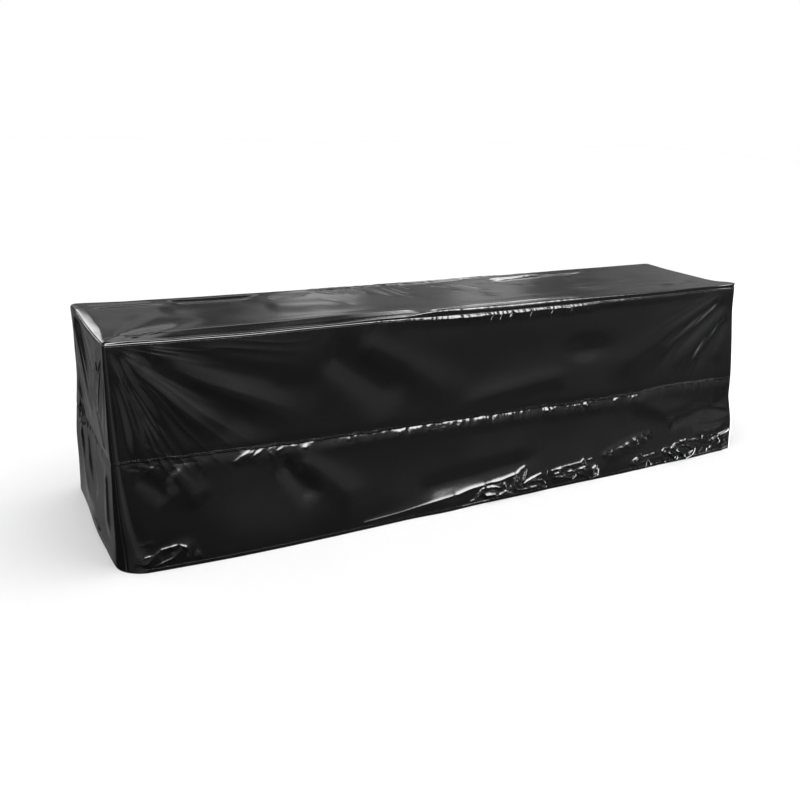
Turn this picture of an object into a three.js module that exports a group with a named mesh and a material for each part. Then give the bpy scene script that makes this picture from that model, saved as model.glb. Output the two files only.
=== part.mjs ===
// A long, box-shaped fitted cover of glossy black vinyl, open at the bottom, as it hangs over a stored
// boxing ring. Millimetres, +Z up, +X along the cover, -Y to its front.
// The origin is the middle of the underside of the top, where the covered stack carries the cover.
//
// Nine cut pieces: a top panel whose border turns down over the edges, four upper walls and four lower
// walls. The upper walls lap over the border of the top and over the lower walls, and the walls are sewn
// edge to edge at the corners. Every piece is a sheet on one shared drape, so neighbours follow the same
// folds.
import * as THREE from "three";

// ---- driving dimensions ----
const TOP_LENGTH = 3660;
const TOP_WIDTH = 722;
const HEIGHT = 1000; // hem to the top's outer face
const END_FLARE = 25; // how far each end leans out by the hem
const SIDE_FLARE = 159; // how far the front and the back lean out by the hem
const THICKNESS = 1.6;
const SEAM_GAP = 0.3; // between neighbouring pieces
const LAP = 22; // height of the overlap at a level seam
const ROLL_CLEAR = 2; // the roll of the top's edge ends at least this far above the seam
const FALL_CURVE = { front: 1, right: 1.2, back: 1.2, left: 1.2 }; // 1 is a straight fall, more bends over
const CORNER_FADE = 95; // folds die out over this distance from a corner
const TOP_INSET = 66; // the grid of the top starts this far inside its edges
const LEDGE = { start: 1, ramp: 11, decay: 24 }; // the ledge below a wall's upper edge rises, then dies out
const LEVEL_SPOT = { flat: 115, eased: 240 }; // the top is level this far round the origin

const LAYER_STEP = THICKNESS + SEAM_GAP;
const LAYER = { top: 0, upper: 1, lower: 0 };
const FLOOR_Z = THICKNESS - HEIGHT;
const HALF_LENGTH = TOP_LENGTH / 2;
const HALF_WIDTH = TOP_WIDTH / 2;

const LONG_CELLS = 36;
const SHORT_CELLS = 7;
const TOP_ROWS = 7;

// ---- the four walls, in turn round the cover as seen from above ----
// "along" runs from the wall's first corner to its second, "out" points away from the cover.
const WALLS = {
  front: { along: [1, 0], out: [0, -1], cells: LONG_CELLS, corners: ["front_left", "front_right"] },
  right: { along: [0, 1], out: [1, 0], cells: SHORT_CELLS, corners: ["front_right", "back_right"] },
  back: { along: [-1, 0], out: [0, 1], cells: LONG_CELLS, corners: ["back_right", "back_left"] },
  left: { along: [0, -1], out: [-1, 0], cells: SHORT_CELLS, corners: ["back_left", "front_left"] },
};
const WALL_NAMES = Object.keys(WALLS);

// Plan radius of each upright corner at the top and at the hem.
const CORNER_RADIUS = {
  front_left: { top: 14, hem: 110 },
  front_right: { top: 14, hem: 24 },
  back_right: { top: 14, hem: 80 },
  back_left: { top: 14, hem: 75 },
};

// Where an upright corner stands out or is pinched in: at a height, how far up and down, and by how much.
const CORNER_BULGES = {
  front_left: [{ height: 60, high: 120, rise: -10 }],
  front_right: [
    { height: 1000, high: 110, rise: 14 },
    { height: 560, high: 380, rise: 12 },
    { height: 330, high: 50, rise: -4 },
    { height: 150, high: 110, rise: 18 },
    { height: 0, high: 80, rise: 10 },
  ],
  back_right: [{ height: 200, high: 150, rise: 8 }],
  back_left: [
    { height: 1000, high: 90, rise: 10 },
    { height: 640, high: 130, rise: -8 },
    { height: 330, high: 100, rise: 6 },
  ],
};
const BULGE_REACH = 90; // along the wall

// The border of the top, a row for each place along the wall ("at" is measured from its middle):
// "crest" is how far inside the edge the top starts to fall, "fall" how far it has fallen at the edge,
// "roll" the radius over which it then turns down, "seam" how far the wall's upper edge lies below the
// full height, and "ledge" how far the wall stands out just under that edge.
const BORDER = {
  front: [
    { at: -1830, crest: 16, fall: 5, roll: 6, seam: 11, ledge: 0 },
    { at: -1739, crest: 58, fall: 4, roll: 4, seam: 12, ledge: 0 },
    { at: -1638, crest: 66, fall: 8, roll: 2.5, seam: 14, ledge: 0 },
    { at: -1535, crest: 68, fall: 11, roll: 2.5, seam: 17, ledge: 0 },
    { at: -1205, crest: 70, fall: 14, roll: 2.5, seam: 21, ledge: 0 },
    { at: -870, crest: 70, fall: 11, roll: 2.5, seam: 18, ledge: 0 },
    { at: -567, crest: 66, fall: 6, roll: 2.5, seam: 17, ledge: 0 },
    { at: -430, crest: 64, fall: 6, roll: 3, seam: 18, ledge: 1 },
    { at: -250, crest: 62, fall: -6, roll: 6, seam: 22, ledge: 4 },
    { at: -180, crest: 62, fall: -8, roll: 10, seam: 23, ledge: 6 },
    { at: -60, crest: 62, fall: -10, roll: 20, seam: 24, ledge: 10 },
    { at: 190, crest: 62, fall: -10, roll: 26, seam: 24, ledge: 10 },
    { at: 590, crest: 62, fall: -10, roll: 20, seam: 24, ledge: 9 },
    { at: 800, crest: 56, fall: -4, roll: 10, seam: 20, ledge: 4 },
    { at: 1230, crest: 60, fall: -3, roll: 8, seam: 17, ledge: 3 },
    { at: 1550, crest: 90, fall: -4, roll: 5, seam: 14, ledge: 2 },
    { at: 1830, crest: 120, fall: -6, roll: 6, seam: 11, ledge: 0 },
  ],
  right: [
    { at: -361, crest: 120, fall: -6, roll: 6, seam: 11, ledge: 0 },
    { at: -120, crest: 30, fall: 5, roll: 8, seam: 16, ledge: 3 },
    { at: 160, crest: 34, fall: 6, roll: 8, seam: 18, ledge: 4 },
    { at: 361, crest: 16, fall: 2, roll: 6, seam: 11, ledge: 0 },
  ],
  back: [
    { at: -1830, crest: 16, fall: 2, roll: 6, seam: 11, ledge: 0 },
    { at: -1300, crest: 34, fall: 5, roll: 8, seam: 16, ledge: 4 },
    { at: -500, crest: 60, fall: 12, roll: 10, seam: 25, ledge: 8 },
    { at: 0, crest: 80, fall: 17, roll: 10, seam: 30, ledge: 9 },
    { at: 650, crest: 70, fall: 14, roll: 10, seam: 27, ledge: 6 },
    { at: 1150, crest: 150, fall: 11, roll: 8, seam: 26, ledge: 3 },
    { at: 1550, crest: 60, fall: 8, roll: 8, seam: 20, ledge: 2 },
    { at: 1830, crest: 16, fall: 2, roll: 6, seam: 11, ledge: 0 },
  ],
  left: [
    { at: -361, crest: 16, fall: 2, roll: 6, seam: 11, ledge: 0 },
    { at: -260, crest: 40, fall: 9, roll: 5, seam: 17, ledge: 2 },
    { at: -60, crest: 46, fall: 13, roll: 5, seam: 21, ledge: 3 },
    { at: 110, crest: 40, fall: 13, roll: 5, seam: 21, ledge: 3 },
    { at: 270, crest: 30, fall: 8, roll: 5, seam: 16, ledge: 2 },
    { at: 361, crest: 16, fall: 5, roll: 6, seam: 11, ledge: 0 },
  ],
};

// Height of the middle seam above the hem, where the upper wall ends.
const MIDDLE_SEAM = {
  front: [
    { at: -1830, height: 487 },
    { at: -1430, height: 473 },
    { at: -980, height: 460 },
    { at: -490, height: 452 },
    { at: 170, height: 444 },
    { at: 670, height: 432 },
    { at: 970, height: 428 },
    { at: 1320, height: 442 },
    { at: 1830, height: 436 },
  ],
  right: [
    { at: -370, height: 436 },
    { at: 40, height: 424 },
    { at: 370, height: 448 },
  ],
  back: [
    { at: -1830, height: 448 },
    { at: -1000, height: 436 },
    { at: -100, height: 452 },
    { at: 900, height: 446 },
    { at: 1830, height: 480 },
  ],
  left: [
    { at: -370, height: 480 },
    { at: 20, height: 466 },
    { at: 370, height: 487 },
  ],
};
const SEAM_DRAW = { depth: 3, reach: 28 }; // the middle seam pulls the cloth in
const SEAM_LIP = { rise: 1.5, below: 38, reach: 26 }; // and it stands out again below

// Main folds, a row each, from (x0, h0) to (x1, h1): x along the wall from its middle, h above the hem.
// "bow" carries the middle of the fold sideways, "w0" and "w1" are its half widths at both ends, and
// "rise" is its height, below zero for a trough.
const FOLDS = {
  front: [
    // fan from the top left corner
    { x0: -1812, h0: 960, x1: -1728, h1: 491, bow: -10, w0: 16, w1: 32, rise: 8 },
    { x0: -1800, h0: 968, x1: -1654, h1: 560, bow: -8, w0: 18, w1: 48, rise: -8 },
    { x0: -1771, h0: 950, x1: -1350, h1: 545, bow: 16, w0: 40, w1: 66, rise: 8 },
    { x0: -1738, h0: 971, x1: -1087, h1: 511, bow: 24, w0: 44, w1: 90, rise: -9 },
    { x0: -1710, h0: 977, x1: -973, h1: 588, bow: 20, w0: 44, w1: 92, rise: 8 },
    { x0: -1619, h0: 965, x1: -856, h1: 650, bow: 18, w0: 46, w1: 96, rise: -8 },
    // slack in the middle of the upper wall
    { x0: -870, h0: 880, x1: -420, h1: 575, bow: 0, w0: 70, w1: 110, rise: -10 },
    { x0: -700, h0: 900, x1: -60, h1: 560, bow: 10, w0: 60, w1: 100, rise: 7 },
    // fan from the top right corner
    { x0: 1774, h0: 955, x1: 795, h1: 567, bow: -12, w0: 42, w1: 90, rise: 8 },
    { x0: 1790, h0: 915, x1: 1200, h1: 600, bow: -8, w0: 36, w1: 70, rise: -7 },
    { x0: 1804, h0: 878, x1: 1332, h1: 539, bow: -8, w0: 34, w1: 60, rise: 6 },
    { x0: 1812, h0: 820, x1: 1500, h1: 540, bow: 0, w0: 20, w1: 44, rise: -7 },
    { x0: 1812, h0: 775, x1: 1681, h1: 540, bow: 0, w0: 24, w1: 38, rise: 4 },
    { x0: 596, h0: 605, x1: -160, h1: 516, bow: 14, w0: 52, w1: 46, rise: 7 },
    // lower wall
    { x0: -1752, h0: 440, x1: -1600, h1: 300, bow: 0, w0: 30, w1: 50, rise: -7 },
    { x0: -1600, h0: 430, x1: -1480, h1: 250, bow: 0, w0: 36, w1: 60, rise: 8 },
    { x0: -1116, h0: 400, x1: -930, h1: 190, bow: 10, w0: 34, w1: 60, rise: -10 },
    { x0: -1020, h0: 400, x1: -700, h1: 120, bow: 0, w0: 40, w1: 80, rise: 8 },
    { x0: -1790, h0: 40, x1: -1500, h1: 84, bow: -22, w0: 34, w1: 40, rise: 5 },
    { x0: -760, h0: 6, x1: 190, h1: 104, bow: -6, w0: 30, w1: 46, rise: 5 },
    { x0: -420, h0: 120, x1: 420, h1: 185, bow: 0, w0: 44, w1: 50, rise: -9 },
    { x0: -30, h0: 34, x1: 420, h1: 40, bow: 0, w0: 34, w1: 40, rise: 5 },
    { x0: 430, h0: 52, x1: 760, h1: 66, bow: 0, w0: 34, w1: 36, rise: 6 },
    { x0: 800, h0: 104, x1: 1200, h1: 190, bow: 0, w0: 34, w1: 36, rise: 5 },
    { x0: 1010, h0: 24, x1: 1760, h1: 70, bow: 8, w0: 40, w1: 44, rise: 6 },
    { x0: 1500, h0: 140, x1: 1830, h1: 158, bow: 0, w0: 34, w1: 40, rise: 6 },
    { x0: 1300, h0: 230, x1: 1830, h1: 300, bow: 0, w0: 44, w1: 50, rise: -10 },
    { x0: 1020, h0: 400, x1: 1560, h1: 220, bow: 0, w0: 50, w1: 60, rise: 7 },
  ],
  right: [
    { x0: -340, h0: 950, x1: 40, h1: 560, bow: 14, w0: 24, w1: 60, rise: 9 },
    { x0: -300, h0: 965, x1: 170, h1: 640, bow: 10, w0: 24, w1: 60, rise: -8 },
    { x0: 335, h0: 940, x1: 190, h1: 560, bow: -10, w0: 22, w1: 46, rise: 8 },
    { x0: -310, h0: 330, x1: 120, h1: 250, bow: 12, w0: 34, w1: 50, rise: -9 },
    { x0: -250, h0: 60, x1: 90, h1: 120, bow: -12, w0: 30, w1: 40, rise: 12 },
    { x0: 180, h0: 400, x1: 290, h1: 70, bow: 0, w0: 36, w1: 60, rise: 9 },
  ],
  back: [
    { x0: -1770, h0: 950, x1: -980, h1: 560, bow: 18, w0: 28, w1: 86, rise: 12 },
    { x0: -1700, h0: 975, x1: -860, h1: 660, bow: 16, w0: 30, w1: 90, rise: -11 },
    { x0: -1800, h0: 900, x1: -1500, h1: 540, bow: 0, w0: 22, w1: 56, rise: -8 },
    { x0: -560, h0: 900, x1: 40, h1: 600, bow: 0, w0: 70, w1: 110, rise: 8 },
    { x0: 1770, h0: 955, x1: 1120, h1: 540, bow: -14, w0: 26, w1: 76, rise: 12 },
    { x0: 1700, h0: 975, x1: 900, h1: 640, bow: -16, w0: 30, w1: 92, rise: -11 },
    { x0: 1160, h0: 900, x1: 520, h1: 600, bow: 0, w0: 60, w1: 96, rise: 8 },
    { x0: -1500, h0: 60, x1: -820, h1: 110, bow: 10, w0: 40, w1: 50, rise: 15 },
    { x0: -300, h0: 40, x1: 420, h1: 100, bow: -12, w0: 40, w1: 54, rise: 14 },
    { x0: 820, h0: 90, x1: 1560, h1: 60, bow: 10, w0: 44, w1: 50, rise: 14 },
    { x0: -700, h0: 400, x1: -380, h1: 160, bow: 0, w0: 50, w1: 80, rise: -9 },
    { x0: 560, h0: 400, x1: 860, h1: 170, bow: 0, w0: 50, w1: 76, rise: 8 },
  ],
  left: [
    { x0: -340, h0: 960, x1: 40, h1: 560, bow: -14, w0: 24, w1: 52, rise: 9 },
    { x0: -300, h0: 965, x1: 140, h1: 720, bow: -8, w0: 24, w1: 56, rise: -8 },
    { x0: 330, h0: 935, x1: 205, h1: 600, bow: 12, w0: 22, w1: 42, rise: 8 },
    { x0: 260, h0: 930, x1: 120, h1: 640, bow: 0, w0: 26, w1: 44, rise: -7 },
    { x0: -330, h0: 520, x1: -210, h1: 440, bow: 0, w0: 34, w1: 40, rise: -12 },
    { x0: -310, h0: 430, x1: -90, h1: 70, bow: 14, w0: 28, w1: 60, rise: 10 },
    { x0: -160, h0: 430, x1: 60, h1: 130, bow: 0, w0: 34, w1: 60, rise: -8 },
    { x0: 300, h0: 420, x1: 320, h1: 90, bow: 0, w0: 26, w1: 44, rise: 8 },
  ],
};

// Places where a wall stands out or hangs in over a wide area, centred on (x, h).
const BILLOWS = {
  front: [
    { x: -1380, h: 0, wide: 330, high: 260, rise: 20 },
    { x: -900, h: 0, wide: 420, high: 300, rise: 30 },
    { x: -420, h: 0, wide: 320, high: 200, rise: 16 },
    { x: -230, h: 0, wide: 150, high: 110, rise: 14 },
    { x: 150, h: 0, wide: 380, high: 240, rise: 30 },
    { x: 880, h: 0, wide: 460, high: 200, rise: 36 },
    { x: 1560, h: 20, wide: 320, high: 190, rise: 26 },
    { x: 100, h: 700, wide: 700, high: 180, rise: -9 },
    { x: 715, h: 720, wide: 130, high: 58, rise: -13 },
  ],
  right: [
    { x: 0, h: 200, wide: 240, high: 120, rise: 10 },
    { x: -60, h: 330, wide: 240, high: 60, rise: -9 },
  ],
  back: [
    { x: -900, h: 0, wide: 500, high: 260, rise: 22 },
    { x: 700, h: 0, wide: 520, high: 240, rise: 26 },
    { x: 0, h: 720, wide: 800, high: 180, rise: -10 },
  ],
  left: [
    { x: -40, h: 470, wide: 240, high: 150, rise: -10 },
    { x: 60, h: 40, wide: 240, high: 160, rise: 10 },
  ],
};

// Folds and hollows of the top, from (x0, y0) to (x1, y1) in plan.
const TOP_FOLDS = [
  { x0: -1770, h0: -292, x1: -1500, h1: 40, bow: 12, w0: 30, w1: 70, rise: 6 },
  { x0: -1700, h0: -320, x1: -1340, h1: -90, bow: 0, w0: 30, w1: 64, rise: -6 },
  { x0: -1500, h0: 80, x1: -900, h1: 190, bow: 0, w0: 90, w1: 110, rise: -7 },
  { x0: -1000, h0: 20, x1: -560, h1: -80, bow: 0, w0: 90, w1: 100, rise: 5 },
  { x0: -420, h0: 60, x1: 500, h1: 0, bow: 0, w0: 110, w1: 120, rise: -8 },
  { x0: -330, h0: 335, x1: 760, h1: 320, bow: 20, w0: 46, w1: 46, rise: 6 },
  { x0: 760, h0: -80, x1: 1680, h1: -190, bow: 10, w0: 60, w1: 40, rise: 5 },
  { x0: 900, h0: 120, x1: 1500, h1: 60, bow: 0, w0: 110, w1: 110, rise: -6 },
];

// ---- small tools ----
const lerp = THREE.MathUtils.lerp;
const smooth = (t) => THREE.MathUtils.smoothstep(t, 0, 1);

// One column of a table at a place between its rows, eased so that no row shows as a kink.
function columnAt(table, at, column) {
  const next = table.findIndex((row) => row.at > at);
  if (next === 0) return table[0][column];
  if (next < 0) return table.at(-1)[column];
  const [before, after] = [table[next - 1], table[next]];
  return lerp(before[column], after[column], smooth((at - before.at) / (after.at - before.at)));
}

// Height of a fold at a point: a rounded ridge or trough along its line, dying out at both ends.
function foldHeight(fold, x, h) {
  const [dx, dh] = [fold.x1 - fold.x0, fold.h1 - fold.h0];
  const length = Math.hypot(dx, dh);
  const t = ((x - fold.x0) * dx + (h - fold.h0) * dh) / length ** 2;
  if (t < 0 || t > 1) return 0;
  const side = ((x - fold.x0) * dh - (h - fold.h0) * dx) / length - 4 * fold.bow * t * (1 - t);
  const width = lerp(fold.w0, fold.w1, t);
  return fold.rise * Math.exp(-((side / width) ** 2)) * smooth(t / 0.15) * smooth((1 - t) / 0.3);
}

function billowHeight(billow, x, h) {
  return billow.rise * Math.exp(-(((x - billow.x) / billow.wide) ** 2) - ((h - billow.h) / billow.high) ** 2);
}

const sumOf = (list, height, x, h) => list.reduce((sum, row) => sum + height(row, x, h), 0);

// ---- the drape shared by all pieces ----
function halfSizes(wall, height) {
  const down = (HEIGHT - height) / HEIGHT;
  const [x, y] = [HALF_LENGTH + END_FLARE * down, HALF_WIDTH + SIDE_FLARE * down];
  return wall.out[0] === 0 ? { along: x, out: y } : { along: y, out: x };
}

function cornerRadius(name, height) {
  const { top, hem } = CORNER_RADIUS[name];
  return lerp(top, hem, ((HEIGHT - height) / HEIGHT) ** 2);
}

// Columns of a wall: the half of each corner's arc that belongs to it, and the straight run between.
function stationsOf(wall) {
  const run = Array.from({ length: wall.cells + 1 }, (_, i) => ({ run: i / wall.cells }));
  const arc = (end) => [{ end, turn: Math.PI / 4 }, { end, turn: Math.PI / 8 }];
  return [...arc(0), ...run, ...arc(1).reverse()];
}

// Plan place of a column at a height, as distances along and out of the wall, with its outward
// direction and its distance from the nearer corner seam.
function planPlace(wall, station, height) {
  const half = halfSizes(wall, height);
  const [first, second] = wall.corners.map((name) => cornerRadius(name, height));
  if (station.run !== undefined) {
    const along = lerp(first - half.along, half.along - second, station.run);
    const seams = [first, second].map((radius) => radius * (1 - Math.SQRT1_2));
    const inside = Math.min(along + half.along - seams[0], half.along - along - seams[1]);
    return { along, out: half.out, normal: [0, 1], inside };
  }
  const sign = station.end === 0 ? -1 : 1;
  const radius = station.end === 0 ? first : second;
  const [sin, cos] = [Math.sin(station.turn), Math.cos(station.turn)];
  return {
    along: sign * (half.along - radius + radius * sin),
    out: half.out - radius + radius * cos,
    normal: [sign * sin, cos],
    inside: radius * (Math.SQRT1_2 - sin),
  };
}

const seamPlace = (name, station) => planPlace(WALLS[name], station, HEIGHT).along;

function wallTop(name, station) {
  return HEIGHT - columnAt(BORDER[name], seamPlace(name, station), "seam");
}

function wallMiddle(name, station) {
  return columnAt(MIDDLE_SEAM[name], seamPlace(name, station), "height");
}

// The ledge's height, from 0 to 1, a distance under the seam: a straight ramp, then back to the wall.
function ledgeShare(under) {
  const up = THREE.MathUtils.clamp((under - LEDGE.start) / LEDGE.ramp, 0, 1);
  const past = Math.max(under - LEDGE.start - LEDGE.ramp, 0);
  return up * Math.exp(-((past / LEDGE.decay) ** 2));
}

// How far the folds stand out of the plain sloping wall.
function relief(name, station, along, height) {
  const ledge = columnAt(BORDER[name], along, "ledge") * ledgeShare(wallTop(name, station) - height);
  const overMiddle = height - wallMiddle(name, station);
  const drawn = -SEAM_DRAW.depth * Math.exp(-((overMiddle / SEAM_DRAW.reach) ** 2));
  const lip = SEAM_LIP.rise * Math.exp(-(((overMiddle + SEAM_LIP.below) / SEAM_LIP.reach) ** 2));
  return (
    ledge +
    drawn +
    lip +
    sumOf(FOLDS[name], foldHeight, along, height) +
    sumOf(BILLOWS[name], billowHeight, along, height)
  );
}

// How far an upright corner carries the wall beside it out or in.
function cornerLift(name, station, inside, height) {
  const [first, second] = WALLS[name].corners;
  const nearFirst = station.run === undefined ? station.end === 0 : station.run < 0.5;
  const lift = CORNER_BULGES[nearFirst ? first : second].reduce(
    (sum, bulge) => sum + bulge.rise * Math.exp(-(((height - bulge.height) / bulge.high) ** 2)),
    0,
  );
  return lift * Math.exp(-((inside / BULGE_REACH) ** 2));
}

// How far the drape stands out at a plan place.
function liftAt(name, station, place, height) {
  const fade = smooth(place.inside / CORNER_FADE);
  return relief(name, station, place.along, height) * fade + cornerLift(name, station, place.inside, height);
}

// A point of the drape's outer and inner face on a wall, for the piece that lies on the given layer.
function wallPoint(name, station, height, layer, cut) {
  const wall = WALLS[name];
  const place = planPlace(wall, station, height);
  const lift = liftAt(name, station, place, height) + layer * LAYER_STEP;
  const [side, out] = place.normal;
  const atSeam = station.turn === Math.PI / 4 && cut;
  const back = atSeam ? SEAM_GAP / 2 : 0;
  const inward = station.end === 0 ? 1 : -1;
  const point = (offset) => {
    const a = place.along + side * offset + inward * out * back;
    const o = place.out + out * offset + Math.abs(side) * back;
    const x = wall.along[0] * a + wall.out[0] * o;
    const y = wall.along[1] * a + wall.out[1] * o;
    return new THREE.Vector3(x, y, FLOOR_Z + height);
  };
  return { outer: point(lift), inner: point(lift - THICKNESS) };
}

// Height of the top's outer face above the hem.
function topHeight(x, y) {
  const fallTo = (name, at, inside) => {
    const crest = columnAt(BORDER[name], at, "crest");
    return columnAt(BORDER[name], at, "fall") * Math.max(0, 1 - inside / crest) ** FALL_CURVE[name];
  };
  const fall =
    fallTo("front", x, HALF_WIDTH + y) +
    fallTo("right", y, HALF_LENGTH - x) +
    fallTo("back", -x, HALF_WIDTH - y) +
    fallTo("left", -y, HALF_LENGTH + x);
  const edge = Math.min(HALF_WIDTH - Math.abs(y), HALF_LENGTH - Math.abs(x));
  const spot = smooth((Math.hypot(x, y) - LEVEL_SPOT.flat) / (LEVEL_SPOT.eased - LEVEL_SPOT.flat));
  return HEIGHT - fall + sumOf(TOP_FOLDS, foldHeight, x, y) * smooth(edge / TOP_INSET) * spot;
}

// ---- sheets ----
// A sheet is a list of outer and inner points and the triangles of its outer face.
const emptySheet = () => ({ points: [], triangles: [] });

function addRow(sheet, points) {
  const start = sheet.points.length;
  sheet.points.push(...points);
  return points.map((_, i) => start + i);
}

function addBand(sheet, upper, lower) {
  for (let i = 0; i + 1 < upper.length; i += 1) {
    sheet.triangles.push([upper[i], lower[i], lower[i + 1]]);
    sheet.triangles.push([upper[i], lower[i + 1], upper[i + 1]]);
  }
}

// Edges that only one triangle has, in that triangle's direction.
function openEdges(triangles) {
  const edges = new Map();
  for (const [a, b, c] of triangles) {
    for (const [from, to] of [[a, b], [b, c], [c, a]]) {
      if (!edges.delete(`${to},${from}`)) edges.set(`${from},${to}`, [from, to]);
    }
  }
  return [...edges.values()];
}

// Closes a sheet with its inner face and a rim.
function closedSheet(sheet) {
  const count = sheet.points.length;
  const rim = openEdges(sheet.triangles).flatMap(([a, b]) => [
    [b, a, a + count],
    [b, a + count, b + count],
  ]);
  const inner = sheet.triangles.map(([a, b, c]) => [a + count, c + count, b + count]);
  const corners = [...sheet.points.map((p) => p.outer), ...sheet.points.map((p) => p.inner)];
  const geometry = new THREE.BufferGeometry();
  geometry.setAttribute("position", new THREE.Float32BufferAttribute(corners.flatMap((p) => p.toArray()), 3));
  geometry.setIndex([...sheet.triangles, ...inner, ...rim].flat());
  geometry.computeVertexNormals();
  return geometry;
}

// A wall piece: rowsOf gives the heights of its rows, from the upper edge down, at each column.
function wallSheet(name, layer, rowsOf) {
  const sheet = emptySheet();
  const stations = stationsOf(WALLS[name]);
  const columns = stations.map((station) => rowsOf(name, station));
  const rows = columns[0].map((_, j) =>
    addRow(sheet, stations.map((station, i) => wallPoint(name, station, columns[i][j], layer, true))),
  );
  rows.slice(1).forEach((row, j) => addBand(sheet, rows[j], row));
  return closedSheet(sheet);
}

const between = (from, to, shares) => shares.map((share) => lerp(from, to, share));

const UPPER_SHARES = { front: [0.25, 0.5, 0.75], right: [0.33, 0.67], back: [0.5], left: [0.25, 0.5, 0.75] };
const LOWER_HEIGHTS = {
  front: [320, 225, 150, 95, 50, 0],
  right: [320, 200, 90, 0],
  back: [240, 90, 0],
  left: [320, 220, 130, 60, 0],
};
const OVER_SEAM = 48; // the row above the middle seam, where the cloth starts to draw in
const UNDER_SEAM = 34; // the row below the middle seam, where it stands out again
const UNDER_LEDGE = 56; // the row below the top of a wall, where the ledge has died out

function upperRows(name, station) {
  const [top, middle] = [wallTop(name, station), wallMiddle(name, station)];
  const [under, over] = [top - UNDER_LEDGE, middle + OVER_SEAM];
  return [top, top - LAP, under, ...between(under, over, UPPER_SHARES[name]), over, middle + LAP, middle];
}

function lowerRows(name, station) {
  const middle = wallMiddle(name, station);
  return [middle + LAP, middle, middle - UNDER_SEAM, ...LOWER_HEIGHTS[name]];
}

// The turned-down border of the top at one column: over the roll, down to the seam, and behind the wall.
// The roll stops short of a right angle where the seam comes first.
function borderColumn(name, station) {
  const wall = WALLS[name];
  const seam = wallTop(name, station);
  const place = planPlace(wall, station, seam);
  const lift = liftAt(name, station, place, seam);
  const [side, out] = place.normal;
  const plan = (offset) => {
    const [a, o] = [place.along + side * (offset + lift), place.out + out * (offset + lift)];
    return [wall.along[0] * a + wall.out[0] * o, wall.along[1] * a + wall.out[1] * o];
  };
  const at = seamPlace(name, station);
  const [roll, fall] = [columnAt(BORDER[name], at, "roll"), columnAt(BORDER[name], at, "fall")];
  const drop = HEIGHT - fall - seam - ROLL_CLEAR;
  const lastTurn = Math.acos(Math.max(0, 1 - drop / roll));
  const rolled = (turn) => {
    const [sin, cos] = [Math.sin(turn), Math.cos(turn)];
    const face = (radius) => {
      const [x, y] = plan(radius * sin - roll);
      const height = topHeight(...plan(roll * (sin - 1))) - roll + radius * cos;
      return new THREE.Vector3(x, y, FLOOR_Z + height);
    };
    return { outer: face(roll), inner: face(roll - THICKNESS) };
  };
  const hung = [seam, seam - LAP].map((height) => wallPoint(name, station, height, LAYER.top, false));
  return [rolled(0), rolled(lastTurn / 2), rolled(lastTurn), ...hung];
}

function topPoint(x, y) {
  const outer = new THREE.Vector3(x, y, FLOOR_Z + topHeight(x, y));
  return { outer, inner: outer.clone().setZ(outer.z - THICKNESS) };
}

// Joins the grid of the top to the inner ring of its border along one wall.
function addMargin(sheet, ring, edge) {
  const arc = 2;
  const last = ring.length - 1;
  for (let i = 0; i < arc; i += 1) {
    sheet.triangles.push([ring[i], ring[i + 1], edge[0]]);
    sheet.triangles.push([ring[last - i - 1], ring[last - i], edge.at(-1)]);
  }
  addBand(sheet, edge, ring.slice(arc, last - arc + 1));
}

function topSheet() {
  const sheet = emptySheet();
  const columns = WALL_NAMES.flatMap((name) => {
    const stations = stationsOf(WALLS[name]).slice(0, -1);
    return stations.map((station) => borderColumn(name, station));
  });
  const rings = columns[0].map((_, j) => {
    const ring = addRow(sheet, columns.map((column) => column[j]));
    return [...ring, ring[0]];
  });
  rings.slice(1).forEach((ring, j) => addBand(sheet, rings[j], ring));

  const [reachX, reachY] = [HALF_LENGTH - TOP_INSET, HALF_WIDTH - TOP_INSET];
  const across = Array.from({ length: LONG_CELLS + 1 }, (_, i) => lerp(-reachX, reachX, i / LONG_CELLS));
  const rows = Array.from({ length: TOP_ROWS + 1 }, (_, j) => {
    const y = lerp(reachY, -reachY, j / TOP_ROWS);
    return addRow(sheet, across.map((x) => topPoint(x, y)));
  });
  rows.slice(1).forEach((row, j) => addBand(sheet, rows[j], row));

  const edges = {
    front: rows.at(-1),
    right: rows.map((row) => row.at(-1)).reverse(),
    back: [...rows[0]].reverse(),
    left: rows.map((row) => row[0]),
  };
  let start = 0;
  for (const name of WALL_NAMES) {
    const end = start + stationsOf(WALLS[name]).length;
    addMargin(sheet, rings[0].slice(start, end), edges[name]);
    start = end - 1;
  }
  return closedSheet(sheet);
}

// ---- the cover ----
const vinyl = (color) => new THREE.MeshStandardMaterial({ color, roughness: 0.22, metalness: 0 });

function piece(name, geometry, color) {
  const mesh = new THREE.Mesh(geometry, vinyl(color));
  mesh.name = name;
  return mesh;
}

const cover = new THREE.Group();
cover.add(piece("top_panel", topSheet(), 0x1b1b1d));
for (const name of WALL_NAMES) {
  cover.add(piece(`upper_${name}`, wallSheet(name, LAYER.upper, upperRows), 0x161618));
  cover.add(piece(`lower_${name}`, wallSheet(name, LAYER.lower, lowerRows), 0x141416));
}

export default cover;
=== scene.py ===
"""The looks of a long fitted cover of glossy black vinyl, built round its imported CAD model.

Every piece lies on the drape that its solid has, worked out here again on a finer grid, with the puckers,
creases and crumples that are too fine for the solids. Sizes are in millimetres until a mesh is made.
Heights are above the hem. Places along a wall are measured from its middle.
"""

import math
from collections import namedtuple

import bpy
import numpy as np
from mathutils import Matrix, Vector


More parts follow.
